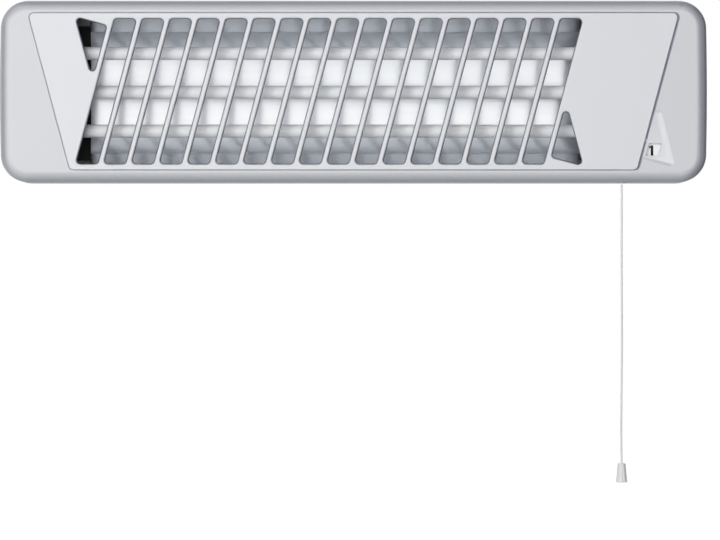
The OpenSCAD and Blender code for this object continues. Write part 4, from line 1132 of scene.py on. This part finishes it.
# A taper with soft ends and a bore for the cord; its flutes deepen downwards with the cosine of ten turns
def makeKnob(k):
    low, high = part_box("pull_knob")
    centre = (0.5 * (low.x + high.x), 0.5 * (low.y + high.y))
    top, bottom = k["topRadius"], k["bottomRadius"]
    turn = edgeRound(k["edgeSteps"])
    upper = [[top - k["edge"] * (1 - e[1]), high.z - k["edge"] * e[0]] for e in turn]
    share = np.linspace(0, 1, k["sideSteps"] + 1)[1:-1, None]
    side = np.array([top, high.z - k["edge"]]) * (1 - share) + np.array([bottom, low.z + k["edge"]]) * share
    lower = [[bottom - k["edge"] * e[0], low.z + k["edge"] * (1 - e[1])] for e in turn]
    profile = np.array([[0, high.z - k["boreDepth"]], [k["bore"], high.z - k["boreDepth"]], [k["bore"], high.z],
                        *upper, *side, *lower, [0, low.z]])
    grid = turned(profile, centre, "Z", k["steps"])
    down = np.clip((high.z - profile[:, 1]) / (high.z - low.z), 0, 1)
    wave = np.clip(np.cos(k["flutes"] * circle(k["steps"])), 0, 1) ** k["fluteSharp"]
    radius = profile[:, :1]
    depth = np.where(radius > top - justOver * k["edge"], k["fluteDepth"] * down[:, None] * wave, 0)
    scale = 1 - depth / np.maximum(radius, k["edge"])
    grid[..., :2] = centre + (grid[..., :2] - centre) * scale[..., None]
    surface = Surface()
    surface.grid(grid)
    meshObject("knobFluted", surface, "pull_knob", "knobPlastic", sharp=50, body="cord")


makeKnob(knob)

screwHead = {
    "near": 17 * mm,  # between points of one screw at most
    "height": (0.55, 0.45),  # at most these shares of its radius and of the screw's length
    "dome": 0.55,  # share of the height that it falls to its edge
    "edge": 0.35,  # where the dome begins to fall, as a share of the radius
    "cross": 0.22,  # half width of the recess's arms, as a share
    "reach": 0.62,  # length of its arms, as a share
    "depth": 0.55,  # of the recess, as a share of the head's height
    "soft": (0.06, 0.12),  # width of its slopes at the sides and the ends of the arms
    "shank": 0.45,  # as a share of the radius
    "rings": 14,
    "steps": 48,
}


# The separate solids of a node, each as the lowest and highest corner of its box: points that lie close
def solidBoxes(node, near):
    points = readAll(frame["nodes"][node].data.vertices, "co", True)
    boxes = []
    while len(points):
        close = np.linalg.norm(points - points[0], axis=1) < near
        boxes.append((points[close].min(axis=0), points[close].max(axis=0)))
        points = points[~close]
    return boxes


# Screws from behind, with a domed head and a crossed recess: the height falls with the cube of the way out
# past the dome's edge, less a cross that is soft at its edges
def makeScrews(s, node, name):
    surface = Surface()
    for low, high in solidBoxes(node, s["near"]):
        centre = (0.5 * (low[0] + high[0]), 0.5 * (low[2] + high[2]))
        radius = 0.5 * (high[0] - low[0])
        rear, front = -high[1], -low[1]
        headHeight = min(s["height"][0] * radius, s["height"][1] * (front - rear))
        share = np.linspace(0, 1, s["rings"])[:, None]
        angle = circle(s["steps"])
        across, up = share * np.cos(angle), share * np.sin(angle)
        arm = np.maximum(np.abs(across), np.abs(up))
        thin = np.minimum(np.abs(across), np.abs(up))
        sides, ends = [np.clip(way / soft, 0, 1)
                       for way, soft in zip((s["cross"] - thin, s["reach"] - arm), s["soft"])]
        fall = np.clip((share - s["edge"]) / (1 - s["edge"]), 0, 1) ** 3
        height = headHeight * (1 - s["dome"] * fall - s["depth"] * sides * ends)
        base = rear + headHeight
        dome = np.stack([centre[0] + radius * across, height - base, centre[1] + radius * up], axis=-1)
        shank = s["shank"] * radius
        rings = turned([[radius, base], [shank, base], [shank, front], [0, front]], centre, "Y", s["steps"])
        surface.grid(np.concatenate([dome, rings]))
    meshObject(name, surface, node, "zincPlate", sharp=35)


makeScrews(screwHead, "cover_screws", "coverScrews")
makeScrews(screwHead, "lug_screws", "lugScrews")

grip = {
    "near": 40 * mm,  # between points of one screw at most
    "head": 3.6 * mm,  # thickness
    "ribs": 24,
    "ribDepth": 0.35 * mm,
    "edge": 0.6 * mm,
    "edgeSteps": 5,
    "steps": 192,
    "dish": 3.2 * mm,  # radius of the dished middle
    "dishDepth": 0.5 * mm,
    "shank": 2.5 * mm,
}


# A round head whose rim has shallow ribs by the cosine of the angle, a dished middle and a plain shank, about X
def makePivotScrews(g):
    surface = Surface()
    for low, high in solidBoxes("pivot_screws", g["near"]):
        centre = (0.5 * (low[1] + high[1]), 0.5 * (low[2] + high[2]))
        radius = 0.5 * (high[2] - low[2])
        way = math.copysign(1, low[0] + high[0])
        outer, tip = (high[0], low[0]) if way > 0 else (low[0], high[0])
        dish, head = outer - way * g["dishDepth"], outer - way * g["head"]
        profile = [[0, dish], [g["dish"] - g["dishDepth"], dish], [g["dish"], outer]]
        for e in edgeRound(g["edgeSteps"]):
            profile.append([radius - g["edge"] * (1 - e[1]), outer - way * g["edge"] * e[0]])
        profile = np.array(profile + [[radius, head], [g["shank"], head], [g["shank"], tip], [0, tip]])
        grid = turned(profile, centre, "X", g["steps"])
        depth = g["ribDepth"] * (0.5 - 0.5 * np.cos(g["ribs"] * circle(g["steps"])))
        scale = np.where(profile[:, :1] > radius - justOver * g["edge"], 1 - depth / radius, 1)
        grid[..., 1:] = centre + (grid[..., 1:] - centre) * scale[..., None]
        surface.grid(grid)
    meshObject("pivotScrews", surface, "pivot_screws", "blackPlastic", sharp=35)


makePivotScrews(grip)
print("knob and screws made")

spring = {
    "wireRadius": 0.4 * mm,
    "turns": 8,
    "stepsPerTurn": 28,
    "wireSides": 10,
    "travel": 11 * mm,  # of the slider that squeezes it
}


# A helix about Z that fills its node's box
def makeSpring(c):
    low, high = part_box("return_spring")
    centre = 0.5 * (low + high)
    thick = c["wireRadius"]
    radius = 0.5 * (high.x - low.x) - thick
    surface = Surface()
    windWire(surface, c, np.array(centre), 2, low.z + thick, high.z - thick, radius, c["turns"])
    obj = meshObject("returnSpring", surface, "return_spring", "springSteel", sharp=60)
    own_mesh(obj)


makeSpring(spring)
print("spring made")

# The CAD nodes that stay as they are, by finish
worn = {
    "bracketPaint": ["wall_bracket", "pivot_lug_left", "pivot_lug_right"],
    "coverPaint": ["rear_cover"],
    # painted shade: black for the dark gap beside the reflector's ends
    "heatBlack": ["heat_shield", "lamp_bracket_left", "lamp_bracket_right"],
    "capCeramic": ["tube_cap_%d" % k for k in range(1, 7)],
    "zincPlate": ["grille_screws", "pivot_nuts", "reflector_screws", "lamp_bracket_screws", "switch_screws",
                  "dial_shaft"],
    "brassTurned": ["terminal_screws", "earth_screw", "switch_terminals"],
    "blackPlastic": ["switch_body"],
    "blackRubber": ["friction_washers", "cable_grommet"],
    "ivoryPlastic": ["terminal_block", "pull_slider", "ratchet_wheel"],
    "brownWire": ["live_lead", "tube_lead_1", "tube_lead_2", "tube_lead_3"],
    "blueWire": ["neutral_lead"],
    "greenWire": ["earth_lead"],
    "casingPaint": ["cord_bush"],
    "dialPlastic": ["number_dial"],
    "windowClear": ["dial_window"],
    "knobPlastic": ["cord_tail"],
}
for finish, names in worn.items():
    dress(finish, *names)
print("nodes dressed")
